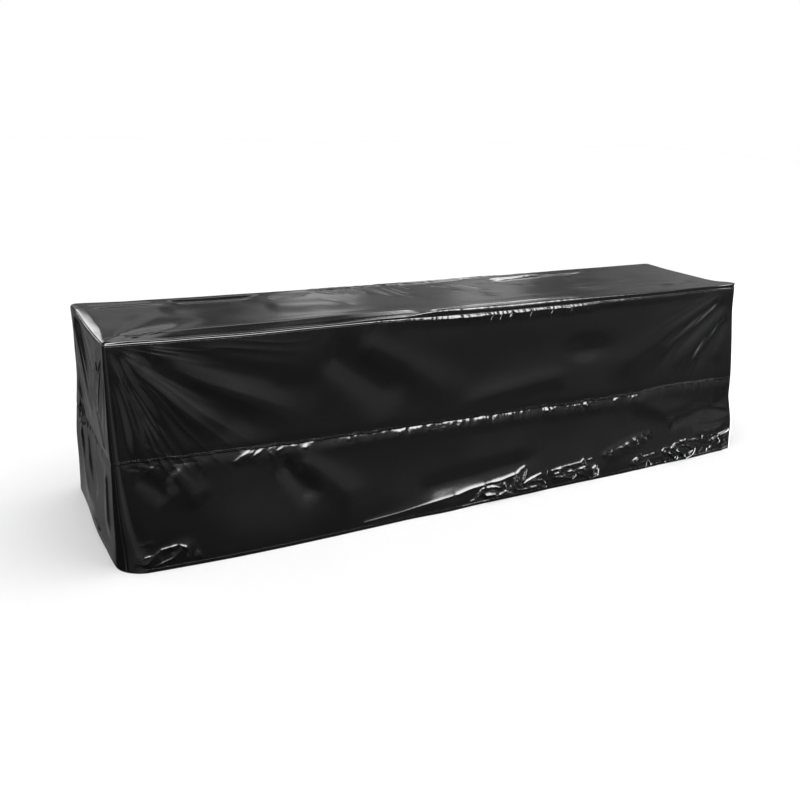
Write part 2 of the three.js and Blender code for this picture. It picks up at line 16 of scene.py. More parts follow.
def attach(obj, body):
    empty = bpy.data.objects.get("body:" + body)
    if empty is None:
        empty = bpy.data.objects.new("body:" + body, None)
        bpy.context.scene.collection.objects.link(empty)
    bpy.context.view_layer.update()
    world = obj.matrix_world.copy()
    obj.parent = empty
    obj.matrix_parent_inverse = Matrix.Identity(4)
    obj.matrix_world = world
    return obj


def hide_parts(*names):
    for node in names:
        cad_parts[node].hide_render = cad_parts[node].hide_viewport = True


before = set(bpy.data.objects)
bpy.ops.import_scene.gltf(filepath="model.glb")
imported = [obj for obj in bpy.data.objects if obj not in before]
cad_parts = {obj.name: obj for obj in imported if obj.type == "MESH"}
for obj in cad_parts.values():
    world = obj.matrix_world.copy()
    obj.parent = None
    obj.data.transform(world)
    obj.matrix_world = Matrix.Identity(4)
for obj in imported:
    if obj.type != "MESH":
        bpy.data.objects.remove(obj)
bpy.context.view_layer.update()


def named_rows(kind, table):
    """Plain rows, in one list or in a list for each wall, as rows with named columns."""
    if isinstance(table, dict):
        return {key: named_rows(kind, rows) for key, rows in table.items()}
    return [kind(*row) for row in table]


# ---- sizes ----
MM = 0.001
TOP_LENGTH, TOP_WIDTH, HEIGHT = 3660.0, 722.0, 1000.0
END_FLARE, SIDE_FLARE = 25.0, 159.0  # how far the ends and the sides lean out by the hem
THICKNESS, SEAM_GAP = 1.6, 0.3
LAP = 22.0  # height of the overlap at a level seam
TUCK = 1.5  # its hidden part lies this much further in
ROLL_CLEAR = 2.0  # the roll of the top's edge ends at least this far above the seam
GRID_CLEAR = 4.0  # the grid of the top stays this far from that roll
FALL_CURVE = {"front": 1.0, "right": 1.2, "back": 1.2, "left": 1.2}  # 1 is a straight fall, more bends over
CORNER_FADE, FINE_FADE = 95.0, 30.0  # folds die out over these distances from a corner
TOP_INSET = 66.0  # and the main folds of the top over this one from its edges
LEVEL_SPOT = (115.0, 240.0)  # the top is level this far round the origin, and eased up to there
LEDGE_START, LEDGE_RAMP, LEDGE_DECAY = 1.0, 11.0, 24.0  # the ledge below a wall's upper edge

LAYER_STEP = THICKNESS + SEAM_GAP
FLOOR_Z = THICKNESS - HEIGHT
HALF_LENGTH, HALF_WIDTH = TOP_LENGTH / 2, TOP_WIDTH / 2

Wall = namedtuple("Wall", "along out corners")
WALLS = {
    "front": Wall((1, 0), (0, -1), ("front_left", "front_right")),
    "right": Wall((0, 1), (1, 0), ("front_right", "back_right")),
    "back": Wall((-1, 0), (0, 1), ("back_right", "back_left")),
    "left": Wall((0, -1), (-1, 0), ("back_left", "front_left")),
}
CORNER_RADIUS = {  # at the top, at the hem
    "front_left": (14, 110),
    "front_right": (14, 24),
    "back_right": (14, 80),
    "back_left": (14, 75),
}

# Where an upright corner stands out or is pinched in: at a height, how far up and down, and by how much.
Bulge = namedtuple("Bulge", "height high rise")
CORNER_BULGES = named_rows(Bulge, {
    "front_left": [(60, 120, -10)],
    "front_right": [(1000, 110, 14), (560, 380, 12), (330, 50, -4), (150, 110, 18), (0, 80, 10)],
    "back_right": [(200, 150, 8)],
    "back_left": [(1000, 90, 10), (640, 130, -8), (330, 100, 6)],
})
BULGE_REACH = 90.0  # along the wall

# ---- the drape's tables, as in the solids ----
Border = namedtuple("Border", "at crest fall roll seam ledge")
BORDER = named_rows(Border, {
    "front": [
        (-1830, 16, 5, 6, 11, 0), (-1739, 58, 4, 1.6, 12, 0), (-1638, 66, 8, 1.2, 14, 0),
        (-1535, 68, 11, 1.2, 17, 0), (-1205, 70, 14, 1.2, 21, 0), (-870, 70, 11, 1.2, 18, 0),
        (-567, 66, 6, 1.5, 17, 0), (-430, 64, 6, 3, 18, 1), (-250, 62, -6, 6, 22, 4),
        (-180, 62, -8, 10, 23, 6), (-60, 62, -10, 20, 24, 10), (190, 62, -10, 26, 24, 10),
        (590, 62, -10, 20, 24, 9), (800, 56, -4, 10, 20, 4), (1230, 60, -3, 8, 17, 3),
        (1550, 90, -4, 5, 14, 2), (1830, 120, -6, 6, 11, 0),
    ],
    "right": [
        (-361, 120, -6, 6, 11, 0), (-120, 30, 5, 8, 16, 3), (160, 34, 6, 8, 18, 4), (361, 16, 2, 6, 11, 0),
    ],
    "back": [
        (-1830, 16, 2, 6, 11, 0), (-1300, 34, 5, 8, 16, 4), (-500, 60, 12, 10, 25, 8),
        (0, 80, 17, 10, 30, 9), (650, 70, 14, 10, 27, 6), (1150, 150, 11, 8, 26, 3),
        (1550, 60, 8, 8, 20, 2), (1830, 16, 2, 6, 11, 0),
    ],
    "left": [
        (-361, 16, 2, 6, 11, 0), (-260, 40, 9, 5, 17, 2), (-60, 46, 13, 5, 21, 3), (110, 40, 13, 5, 21, 3),
        (270, 30, 8, 5, 16, 2), (361, 16, 5, 6, 11, 0),
    ],
})

Seam = namedtuple("Seam", "at height")
MIDDLE_SEAM = named_rows(Seam, {
    "front": [
        (-1830, 487), (-1430, 473), (-980, 460), (-490, 452), (170, 444), (670, 432), (970, 428),
        (1320, 442), (1830, 436),
    ],
    "right": [(-370, 436), (40, 424), (370, 448)],
    "back": [(-1830, 448), (-1000, 436), (-100, 452), (900, 446), (1830, 480)],
    "left": [(-370, 480), (20, 466), (370, 487)],
})
SEAM_DRAW = (5, 28)  # depth, reach
SEAM_LIP = (6, 38, 26)  # rise, how far below the seam, reach

# Folds, each from (x0, h0) to (x1, h1): how far it bows, its width at both ends, and its rise.
Fold = namedtuple("Fold", "x0 h0 x1 h1 bow w0 w1 rise")
FOLD_ENDS = (0.15, 0.3)  # shares of its length over which a fold comes up and dies out
FOLDS = named_rows(Fold, {
    "front": [
        (-1812, 960, -1728, 491, -10, 16, 32, 8), (-1800, 968, -1654, 560, -8, 18, 48, -8),
        (-1771, 950, -1350, 545, 16, 40, 66, 8), (-1738, 971, -1087, 511, 24, 44, 90, -9),
        (-1710, 977, -973, 588, 20, 44, 92, 8), (-1619, 965, -856, 650, 18, 46, 96, -8),
        (-870, 880, -420, 575, 0, 70, 110, -10), (-700, 900, -60, 560, 10, 60, 100, 7),
        (1774, 955, 795, 567, -12, 42, 90, 8), (1790, 915, 1200, 600, -8, 36, 70, -7),
        (1804, 878, 1332, 539, -8, 46, 66, 6), (1812, 820, 1500, 540, 0, 38, 52, -6),
        (1812, 775, 1681, 540, 0, 34, 42, 3), (596, 605, -160, 516, 14, 52, 46, 7),
        (-1752, 440, -1600, 300, 0, 30, 50, -7), (-1600, 430, -1480, 250, 0, 36, 60, 8),
        (-1116, 400, -930, 190, 10, 34, 60, -10), (-1020, 400, -700, 120, 0, 40, 80, 8),
        (-1790, 40, -1500, 84, -22, 34, 40, 5), (-760, 6, 190, 104, -6, 30, 46, 2.6),
        (-420, 120, 420, 185, 0, 44, 50, -9), (-30, 34, 420, 40, 0, 34, 40, 5),
        (430, 52, 760, 66, 0, 34, 36, 6), (800, 104, 1200, 190, 0, 34, 36, 5),
        (1010, 24, 1760, 70, 8, 40, 44, 6), (1500, 140, 1830, 158, 0, 34, 40, 6),
        (1300, 230, 1830, 300, 0, 44, 50, -10), (1020, 400, 1560, 220, 0, 50, 60, 7),
    ],
    "right": [
        (-340, 950, 40, 560, 14, 24, 60, 9), (-300, 965, 170, 640, 10, 24, 60, -8),
        (335, 940, 190, 560, -10, 22, 46, 8), (-310, 330, 120, 250, 12, 34, 50, -9),
        (-250, 60, 90, 120, -12, 30, 40, 12), (180, 400, 290, 70, 0, 36, 60, 9),
    ],
    "back": [
        (-1770, 950, -980, 560, 18, 28, 86, 12), (-1700, 975, -860, 660, 16, 30, 90, -11),
        (-1800, 900, -1500, 540, 0, 22, 56, -8), (-560, 900, 40, 600, 0, 70, 110, 8),
        (1770, 955, 1120, 540, -14, 26, 76, 12), (1700, 975, 900, 640, -16, 30, 92, -11),
        (1160, 900, 520, 600, 0, 60, 96, 8), (-1500, 60, -820, 110, 10, 40, 50, 15),
        (-300, 40, 420, 100, -12, 40, 54, 14), (820, 90, 1560, 60, 10, 44, 50, 14),
        (-700, 400, -380, 160, 0, 50, 80, -9), (560, 400, 860, 170, 0, 50, 76, 8),
    ],
    "left": [
        (-340, 960, 40, 560, -14, 24, 52, 9), (-300, 965, 140, 720, -8, 24, 56, -8),
        (330, 935, 205, 600, 12, 22, 42, 8), (260, 930, 120, 640, 0, 26, 44, -7),
        (-330, 520, -210, 440, 0, 34, 40, -12), (-310, 430, -90, 70, 14, 28, 60, 10),
        (-160, 430, 60, 130, 0, 34, 60, -8), (300, 420, 320, 90, 0, 26, 44, 8),
    ],
})
TOP_FOLDS = named_rows(Fold, [
    (-1770, -292, -1500, 40, 12, 30, 70, 6), (-1700, -320, -1340, -90, 0, 30, 64, -6),
    (-1500, 80, -900, 190, 0, 90, 110, -7), (-1000, 20, -560, -80, 0, 90, 100, 5),
    (-420, 60, 500, 0, 0, 110, 120, -8), (-330, 335, 760, 320, 20, 46, 46, 6),
    (760, -80, 1680, -190, 10, 60, 40, 5), (900, 120, 1500, 60, 0, 110, 110, -6),
])

Billow = namedtuple("Billow", "x h wide high rise")
BILLOWS = named_rows(Billow, {
    "front": [
        (-1380, 0, 330, 260, 20), (-900, 0, 420, 300, 30), (-420, 0, 320, 200, 16), (-230, 0, 150, 110, 14),
        (150, 0, 380, 240, 30), (880, 0, 460, 200, 36), (1560, 20, 320, 190, 26), (100, 700, 700, 180, -9),
        (715, 720, 130, 58, -13),
    ],
    "right": [(0, 200, 240, 120, 10), (-60, 330, 240, 60, -9)],
    "back": [(-900, 0, 500, 260, 22), (700, 0, 520, 240, 26), (0, 720, 800, 180, -10)],
    "left": [(-40, 470, 240, 150, -10), (60, 40, 240, 160, 10)],
})

# ---- what is too fine for the solids ----
# How strongly a seam is drawn in, from 0 to 1: the cloth below a drawn stretch stands out in a lip.
Drawn = namedtuple("Drawn", "at pull")
MIDDLE_DRAWN = named_rows(Drawn, {
    "front": [
        (-1830, 0.1), (-1600, 0.05), (-1460, 0.15), (-1380, 0.08), (-1310, 0.15), (-1150, 0.3),
        (-1040, 0.3), (-978, 0.7), (-920, 0.12), (-830, 0.35), (-750, 0.4), (-650, 0.3), (-540, 0.35),
        (-490, 0.9), (-390, 0.9), (-320, 0.6), (-200, 0.85), (60, 0.85), (130, 0.7), (250, 0.6), (345, 0.5),
        (385, 0.2), (412, 1), (475, 1), (515, 0.3), (600, 0.5), (690, 0.85), (780, 0.5), (850, 0.2),
        (915, 0.8), (985, 0.4), (1040, 0.95), (1095, 0.3), (1250, 0.2), (1830, 0.12),
    ],
    "right": [(-370, 0.15), (-100, 0.7), (60, 0.4), (200, 0.8), (370, 0.15)],
    "back": [
        (-1830, 0.15), (-1300, 0.7), (-1100, 0.3), (-700, 0.8), (-420, 0.9), (-200, 0.3), (150, 0.9),
        (420, 0.5), (700, 0.9), (980, 0.25), (1300, 0.6), (1830, 0.2),
    ],
    "left": [(-370, 0.5), (-230, 0.8), (-60, 0.3), (150, 0.35), (370, 0.2)],
})
TOP_DRAWN = named_rows(Drawn, {
    "front": [
        (-1830, 0), (-900, 0.05), (-640, 0.2), (-590, 0.5), (-540, 0.15), (-500, 0.7), (-440, 0.6),
        (-330, 0.9), (300, 1), (600, 0.8), (800, 0.35), (1200, 0.1), (1830, 0),
    ],
    "right": [(-370, 0), (60, 0.3), (370, 0)],
    "back": [(-1830, 0), (-900, 0.5), (-300, 0.7), (600, 0.8), (1300, 0.3), (1830, 0)],
    "left": [(-370, 0), (-40, 0.2), (370, 0)],
})
MIDDLE_EDGE = (6.5, 10)  # rise of the drawn edge, how far below the seam
MIDDLE_GROOVE = (2.6, 8, 16)  # depth, reach above the seam and below it
TOP_EDGE = (2.0, 9)
# Unevenness, as waves with their height and how far apart they are: of the middle seam, of a drawn edge, of
# the ledge below the upper seam, and of where it starts.
MIDDLE_BENDS = ((2.2, 38), (1.1, 14))
DRAWN_UNEVEN = ((0.6, 24), (0.25, 9))
LEDGE_UNEVEN = ((0.2, 48), (0.05, 17))
LEDGE_LATE = ((2.6, 30), (0.9, 11))
SLACK = ((1.4, 260, 200), (0.5, 105, 120))  # of the walls: rise, how wide and how high
TOP_SLACK = ((1.3, 260, 150), (0.5, 110, 80))

# Slanting gaps in the ledge below the upper seam: place and half width.
NOTCH_DEPTH, NOTCH_SLANT = 0.8, 0.5
LEDGE_NOTCHES = {
    "front": [(92, 5), (149, 6), (216, 14), (340, 4), (478, 5)], "right": [], "back": [], "left": [],
}

# Puckers along a seam, between two places: "rise" at their strongest, "pitch" from one to the next,
# "reach" how far they run from the seam, "lean" how much they slant.
Pucker = namedtuple("Pucker", "start end rise pitch reach lean")
PUCKERS_ABOVE = (0.35, 6)  # what share of them shows above the middle seam, and from how far above it
MIDDLE_PUCKERS = named_rows(Pucker, {
    "front": [
        (-1700, -1380, 0.8, 30, 20, 0.6), (-1330, -1060, 2.2, 24, 26, 1.4), (-1060, -520, 2.4, 38, 22, 0.3),
        (-400, -130, 4.4, 27, 22, -0.8), (-140, 140, 2.0, 44, 18, 0.4), (140, 400, 3.0, 30, 18, -0.4),
        (560, 850, 4.4, 27, 20, 0.9), (860, 1130, 4.6, 40, 22, 0.9), (1130, 1800, 1.6, 34, 26, 0.3),
    ],
    "right": [(-330, 330, 2.6, 30, 28, 0.4)],
    "back": [
        (-1700, -900, 3.0, 30, 28, 0.5), (-760, 240, 4.0, 28, 26, -0.5), (400, 1700, 3.0, 32, 28, 0.6),
    ],
    "left": [(-350, -80, 3.4, 28, 40, 0.6), (-80, 340, 1.8, 32, 30, -0.3)],
})
TOP_PUCKERS = named_rows(Pucker, {
    "front": [
        (-1500, -700, 0.8, 34, 20, 0.2), (-680, -380, 3.4, 30, 26, 0.8), (-420, -60, 3.4, 34, 22, 0.6),
        (-60, 900, 1.1, 38, 18, 0.2),
    ],
    "right": [(-300, 300, 1.4, 30, 22, 0.2)],
    "back": [(-1200, -300, 2.6, 30, 26, 0.4), (-200, 1000, 3.4, 28, 28, -0.4)],
    "left": [(-320, 320, 1.2, 30, 22, 0.2)],
})
# Tension lines that run in from the rear edge of the top.
REAR_PUCKERS = named_rows(Pucker, [
    (-660, 0, 3.6, 30, 100, -0.4), (0, 420, 3.0, 32, 80, -0.6), (150, 900, 2.4, 60, 150, -1.1),
])

# Fine folds of the top, in plan.
FINE_TOP_FOLDS = named_rows(Fold, [
    # the fan of the near left corner
    (-1805, -318, -1585, 70, 12, 13, 44, -5), (-1790, -330, -1640, -60, 0, 10, 26, 3),
    (-1740, -300, -1430, -175, 0, 16, 28, -5), (-1720, -325, -1500, -255, 0, 9, 16, 3),
    # along the rear edge
    (-1790, 222, -1400, 205, 0, 16, 20, -5), (-1800, 300, -1420, 275, 0, 14, 18, 4),
    (-1450, 288, -840, 276, 0, 26, 28, -13), (-1400, 205, -960, 200, 0, 12, 14, -3.5),
    (-930, 215, -640, 228, 0, 14, 16, 3.5), (-920, 165, -700, 185, 0, 14, 18, -3.5),
    (-700, 262, -30, 268, 0, 20, 22, -6), (-160, 258, 420, 285, 0, 20, 20, -6),
    (430, 235, 930, 262, 0, 22, 20, 5), (400, 165, 1260, 240, -8, 17, 17, -6),
    # teeth that lean forward from it, and the tension lines they run out in
    (-640, 235, -560, 150, 0, 8, 6, 3), (-575, 240, -500, 130, 0, 7, 9, -3),
    (-515, 235, -455, 110, 0, 8, 6, 3.2), (-470, 240, -395, 120, 0, 8, 8, -3.4),
    (-420, 230, -345, 60, 0, 9, 7, 3.2), (-365, 240, -290, 30, 0, 8, 9, -3.4),
    (-315, 230, -235, -40, 0, 9, 10, 3), (-270, 235, -190, -60, 0, 8, 10, -3.2),
    (-215, 225, -150, 20, 0, 9, 9, 3), (-160, 240, -95, 90, 0, 9, 8, -3),
    (20, 220, 290, -215, 0, 12, 20, -5), (75, 210, 350, -160, 0, 9, 15, 3.4),
    (150, 205, 330, -20, 0, 9, 12, -2.6), (330, 165, 590, 45, 0, 10, 13, 3.6),
    (390, 130, 640, 5, 0, 12, 14, -4.2), (-700, 120, -560, -90, 0, 12, 16, -2.4),
    # the right half
    (1050, -125, 1640, 30, 0, 30, 40, -3.4), (1300, -275, 1760, -160, 0, 13, 15, -6),
    (1440, -225, 1770, -250, 0, 10, 12, 3), (640, -130, 1180, 140, 0, 70, 90, -2.6),
    # between the crest of the front border and its rolled edge
    (-330, -328, 820, -328, 0, 12, 12, -9),
    # lines along the front
    (-1260, -235, -420, -212, 0, 18, 22, 2.6), (-1000, -262, -300, -250, 0, 9, 11, -1.6),
    (-40, -228, 830, -205, 0, 20, 22, 3.2), (500, -190, 1150, -232, 0, 12, 14, -2),
])

# A low ridge along the front of the top, where its border starts: its rise, and the narrow bench before it
# turns down, with its width and slope.
Ridge = namedtuple("Ridge", "at rise wide slope")
RIDGE = named_rows(Ridge, [
    (-1830, 0, 2, 0.05), (-1739, 2, 9, 0.12), (-1560, 6, 9, 0.14), (-1250, 6, 9, 0.14), (-1020, 6, 8, 0.14),
    (-870, 7, 8, 0.13), (-700, 9, 5, 0.12), (-420, 8, 5, 0.12), (-250, 3, 6, 0.12), (-100, 1, 10, 0.13),
    (0, 1, 13, 0.15), (300, 1, 14, 0.15), (640, 1, 10, 0.13), (760, 0, 3, 0.06), (1830, 0, 2, 0.04),
])
RIDGE_REAR = 26.0  # half width of its rear flank

# Sharp creases, each along a line of points.
Crease = namedtuple("Crease", "wide rise points")


def crease(wide, rise, *points):
    return Crease(wide, rise, points)


CREASES = named_rows(crease, {
    "front": [
        # the turned-up flap by the left corner
        (5, 4.3, (-1795, 30), (-1775, 55), (-1750, 70), (-1715, 75)), (5, 3.7, (-1755, 30), (-1715, 70)),
        (4.5, 3.1, (-1770, 35), (-1735, 65)), (5, 4, (-1745, 30), (-1710, 70), (-1675, 95), (-1600, 105)),
        (5, 4.3, (-1600, 105), (-1570, 90), (-1560, 75), (-1560, 30)),
        (5, 4, (-1705, 25), (-1625, 50), (-1585, 90)), (18, -6, (-1690, 60), (-1620, 80)),
        (6, 3.4, (-1530, 70), (-1500, 20)),
        # the long ridge above the hem
        (6, 3.4, (-720, 35), (-510, 45), (-260, 70), (-185, 75)),
        (7, 6.5, (-185, 75), (-90, 90), (45, 100), (110, 105), (205, 120)),
        (6, 5.9, (200, 115), (235, 135), (275, 150)), (6, 5.9, (275, 145), (265, 120), (235, 65)),
        (4.5, 4.7, (220, 110), (215, 90), (225, 70)),
        # the standing plate under it and what falls from it
        (5, 5.3, (205, 120), (185, 95), (180, 65), (195, 35)), (5, 5, (125, 100), (120, 80), (135, 35)),
        (15, -5, (150, 90), (160, 55)), (5, 5.3, (210, 110), (200, 80), (215, 55), (240, 50)),
        (5, 5.3, (190, 35), (300, 30), (405, 20)), (5, 5, (-20, 80), (65, 75), (115, 60)),
        (14, -5, (-5, 90), (60, 90)), (5, 5.3, (-105, 25), (-70, 30), (-25, 75), (0, 80)),
        (11, 9.1, (-10, 40), (30, 40), (75, 35)), (5, 5.3, (-155, 10), (0, 10), (75, 25), (175, 30)),
        (8, 5.9, (75, 30), (140, 45)),
        # two leaves
        (5, 5.3, (235, 60), (295, 80), (365, 95), (400, 80)),
        (4.5, 4.3, (275, 65), (320, 80), (360, 85), (385, 70)),
        (5, 5.3, (245, 60), (325, 65), (370, 60), (395, 35)), (4.5, 4.3, (250, 50), (285, 35), (370, 35)),
        (5, 4.7, (400, 120), (405, 100), (400, 80)),
        # the textured band
        (5.5, 5.6, (450, 60), (500, 55), (575, 35), (595, 50), (585, 75)),
        (6, 5.2, (430, 95), (530, 105), (645, 110), (665, 125), (675, 85), (640, 80)),
        (5, 5.3, (595, 65), (645, 45), (710, 10)), (4.5, 4.3, (690, 115), (740, 120)),
        (11, 9.1, (760, 80), (725, 65), (720, 25), (750, 30), (760, 70)),
        # the curl and the arches
        (5, 5.3, (1070, 75), (1025, 60), (1015, 45), (1060, 30)), (5, 4.7, (1035, 55), (1065, 70)),
        (5, 5, (1120, 15), (1125, 35), (1145, 40), (1165, 10)),
        (4.5, 4, (1105, 90), (1090, 85), (1095, 70)), (5, 4.3, (1105, 70), (1200, 75), (1240, 65)),
        (6, 5.2, (1260, 20), (1285, 10)),
        # the loops by the right corner
        (6, 5.5, (1325, 90), (1275, 90), (1260, 75), (1310, 55), (1350, 25), (1380, 15)),
        (5, 5.3, (1270, 80), (1345, 50), (1385, 20)), (9, 7.8, (1305, 65), (1360, 30)),
        (6, 5.5, (1410, 105), (1365, 105), (1335, 85), (1400, 50), (1450, 10), (1495, 25), (1520, 55)),
        (5, 5, (1415, 90), (1475, 75), (1520, 55)), (9, 7.8, (1370, 70), (1435, 25)),
        (5, 5.3, (1520, 55), (1450, 25)), (5, 5, (1400, 115), (1445, 115), (1465, 125)),
        (5, 5, (1405, 110), (1560, 110), (1585, 105)), (5, 5.6, (1565, 145), (1590, 105)),
        (5, 5, (1570, 130), (1690, 115), (1750, 110), (1825, 135)), (5, 5, (1605, 145), (1750, 155)),
        (5, 5, (1675, 80), (1685, 95), (1725, 85), (1740, 65), (1720, 55)),
        (5, 4.7, (1635, 90), (1680, 90), (1750, 115), (1825, 125)),
        # slanting puckers of the middle seam
        (5, 3.4, (-1332, 418), (-1290, 442), (-1246, 462)),
        (4.5, 3, (-1318, 414), (-1276, 438), (-1236, 460)),
        (4.5, 3.2, (-1272, 430), (-1244, 446), (-1222, 460)),
        (4.5, 3.2, (-1256, 424), (-1222, 442), (-1198, 458)), (4.5, 2.8, (-1222, 438), (-1184, 460)),
        (5, 3.6, (-1174, 472), (-1172, 444)), (6, 2.6, (-1158, 448), (-1134, 416)),
        (4.5, 2.6, (-1124, 440), (-1080, 456)), (5, 3, (-1040, 462), (-1038, 444)),
        (5, 3.2, (-829, 460), (-827, 438)), (5, 3, (-720, 452), (-708, 436)),
        (5, 3.4, (898, 408), (945, 440)), (5, 3.4, (1020, 418), (1060, 448)),
        # creases in a star by the left end of the middle seam
        (9, -1.6, (-1750, 520), (-1700, 470), (-1640, 452)),
        (8, 1.4, (-1705, 555), (-1640, 505), (-1560, 482)),
        (8, -1.6, (-1780, 470), (-1715, 452), (-1698, 410)),
        (8, 1.4, (-1760, 430), (-1700, 442), (-1650, 470)), (10, -1.8, (-1600, 458), (-1480, 452)),
        # the pinch and the fine creases above the right corner
        (10, 2.2, (1620, 330), (1700, 282), (1822, 262)), (9, -2.4, (1640, 262), (1740, 250), (1822, 236)),
        (9, 2, (1560, 210), (1640, 196), (1740, 200), (1822, 214)),
        (12, -2, (-1130, 428), (-1080, 380), (-1060, 330)),
    ],
    "right": [
        (9, 8, (-300, 40), (-220, 70), (-130, 60), (-90, 20)),
        (9, 7, (-60, 20), (20, 56), (120, 72), (220, 60)), (8, 6, (90, 16), (160, 34), (240, 20)),
        (10, 6, (-350, 262), (-240, 284), (-150, 330)), (9, -5, (-350, 240), (-200, 244)),
        (9, 5, (250, 470), (310, 520), (345, 600)),
    ],
    "back": [
        (12, 8, (-1500, 20), (-1300, 60), (-1080, 74), (-900, 50)),
        (9, 8, (-1240, 16), (-1180, 46), (-1120, 30), (-1060, 4)),
        (8, 7, (-980, 10), (-940, 46), (-860, 60), (-820, 20)),
        (12, 8, (-320, 20), (-160, 60), (60, 80), (240, 60)),
        (9, 8, (-80, 10), (-40, 50), (20, 46), (40, 8)), (8, 7, (120, 12), (180, 48), (250, 30)),
        (12, 9, (860, 30), (1020, 76), (1240, 70), (1420, 90), (1560, 60)),
        (9, 8, (1080, 8), (1120, 44), (1190, 40), (1230, 6)), (9, 8, (1330, 10), (1380, 50), (1450, 40)),
        (10, 6, (-1640, 420), (-1560, 380), (-1500, 300)), (10, 6, (1500, 430), (1600, 360), (1700, 330)),
    ],
    "left": [
        (9, 5, (-340, 640), (-270, 570), (-190, 500)), (8, -5, (-345, 600), (-290, 540), (-230, 496)),
        (8, 5, (-310, 720), (-262, 640), (-222, 560)), (9, 6, (-350, 500), (-290, 470), (-240, 420)),
        (8, -5, (-350, 440), (-300, 452), (-240, 480)), (9, 5, (-345, 400), (-300, 430), (-200, 452)),
        (9, 4, (150, 640), (240, 560), (300, 510)), (9, 5, (-60, 20), (40, 60), (130, 40)),
        (8, 4, (200, 880), (214, 780), (206, 690)),
    ],
})
# Round bumps.
BUMPS = named_rows(Billow, {
    "front": [
        (-1730, 129, 30, 12, 2.6), (-1565, 86, 12, 16, 2), (-1520, 44, 14, 16, 2.4), (97, 80, 26, 20, 6),
        (817, 127, 20, 15, 4), (878, 135, 20, 15, 4.4), (951, 146, 22, 16, 4.6), (994, 160, 18, 14, 4.4),
        (1052, 173, 20, 15, 6.5), (1114, 180, 18, 14, 5), (1166, 190, 18, 14, 4.4), (1620, 37, 9, 8, 4.5),
        (1650, 49, 9, 8, 4.5), (-978, 440, 12, 9, 4), (-752, 444, 10, 9, 3.5), (690, 424, 16, 10, 4),
        (440, 424, 30, 9, 5), (1500, 62, 26, 18, 3),
    ],
    "right": [(-40, 120, 40, 26, 7), (200, 160, 36, 20, 6)],
    "back": [(-640, 100, 60, 30, 9), (-540, 130, 40, 26, 8), (560, 90, 50, 30, 9)],
    "left": [(-120, 300, 60, 70, 6), (224, 890, 34, 46, 4)],
})

# Crumpled strips, from (x0, h0) to (x1, h1): half width, height of the crumples and their size.
Crumple = namedtuple("Crumple", "x0 h0 x1 h1 half rise cell")
CRUMPLES = named_rows(Crumple, {
    "front": [
        (-60, 46, 440, 56, 46, 3.6, 46), (455, 78, 690, 84, 24, 11, 34), (820, 122, 1190, 185, 26, 6, 34),
        (1050, 36, 1800, 84, 50, 4.6, 40), (-340, 425, -120, 430, 16, 3, 28),
        (560, 418, 800, 418, 16, 3, 28),
    ],
    "right": [(-280, 60, 260, 80, 50, 4, 48)],
    "back": [
        (-1500, 50, -820, 70, 50, 5, 48), (-300, 50, 300, 70, 46, 5, 48), (860, 60, 1560, 60, 50, 5, 48),
    ],
    "left": [(-350, 490, -230, 430, 44, 3, 40), (-200, 40, 240, 60, 40, 2.5, 44)],
})

# Fine folds that fan out from an upper corner.
Fan = namedtuple("Fan", "x h reach rise count seed")
FANS = named_rows(Fan, {
    "front": [(-1850, 1010, 1000, 2.4, 26, 1), (1850, 1010, 1050, 1.2, 26, 2)],
    "right": [(-385, 1010, 620, 2.0, 16, 3), (385, 1010, 560, 1.8, 16, 4)],
    "back": [(-1850, 1010, 1000, 2.4, 24, 5), (1850, 1010, 1000, 2.4, 24, 6)],
    "left": [(-385, 1010, 620, 3.4, 16, 7), (385, 1010, 520, 3.2, 16, 8)],
})

# ---- small tools ----
def lerp(a, b, t):
    return a + (b - a) * t


def smooth(t):
    t = np.clip(t, 0.0, 1.0)
    return t * t * (3 - 2 * t)


def bell(x, width):
    return np.exp(-((x / width) ** 2))


def column_at(table, at, column):
    """One column of a table between its rows, eased so that no row shows as a kink."""
    places = np.array([row.at for row in table], float)
    values = np.array([getattr(row, column) for row in table], float)
    i = np.clip(np.searchsorted(places, at, side="right") - 1, 0, len(table) - 2)
    t = smooth((at - places[i]) / (places[i + 1] - places[i]))
    return lerp(values[i], values[i + 1], t)


def fold_height(fold, x, h):
    dx, dh = fold.x1 - fold.x0, fold.h1 - fold.h0
    length = math.hypot(dx, dh)
    t = ((x - fold.x0) * dx + (h - fold.h0) * dh) / length**2
    inside = (t >= 0) & (t <= 1)
    t = np.clip(t, 0, 1)
    side = ((x - fold.x0) * dh - (h - fold.h0) * dx) / length - 4 * fold.bow * t * (1 - t)
    width = lerp(fold.w0, fold.w1, t)
    start, end = FOLD_ENDS
    return inside * fold.rise * bell(side, width) * smooth(t / start) * smooth((1 - t) / end)


def billow_height(b, x, h):
    return b.rise * np.exp(-(((x - b.x) / b.wide) ** 2) - ((h - b.h) / b.high) ** 2)


def random_at(i, j, seed):
    """A fixed random number from 0 to 1 for each pair of whole numbers."""
    n = (i.astype(np.int64) * 374761393 + j.astype(np.int64) * 668265263 + seed * 974634777) & 0xFFFFFFFF
    n = ((n ^ (n >> 13)) * 1274126177) & 0xFFFFFFFF
    return ((n ^ (n >> 16)) & 0xFFFFFF) / float(0xFFFFFF)


def noise(x, y, seed):
    """Smooth noise from -1 to 1 with features about one unit across."""
    i, j = np.floor(x), np.floor(y)
    u, v = smooth(x - i), smooth(y - j)
    low = lerp(random_at(i, j, seed), random_at(i + 1, j, seed), u)
    high = lerp(random_at(i, j + 1, seed), random_at(i + 1, j + 1, seed), u)
    return 2 * lerp(low, high, v) - 1


def ripples(along, waves, seed):
    """Unevenness along a seam: the sum of waves, each with its height and about how far apart they are."""
    return sum(high * noise(along / apart, 0 * along, seed + k) for k, (high, apart) in enumerate(waves))


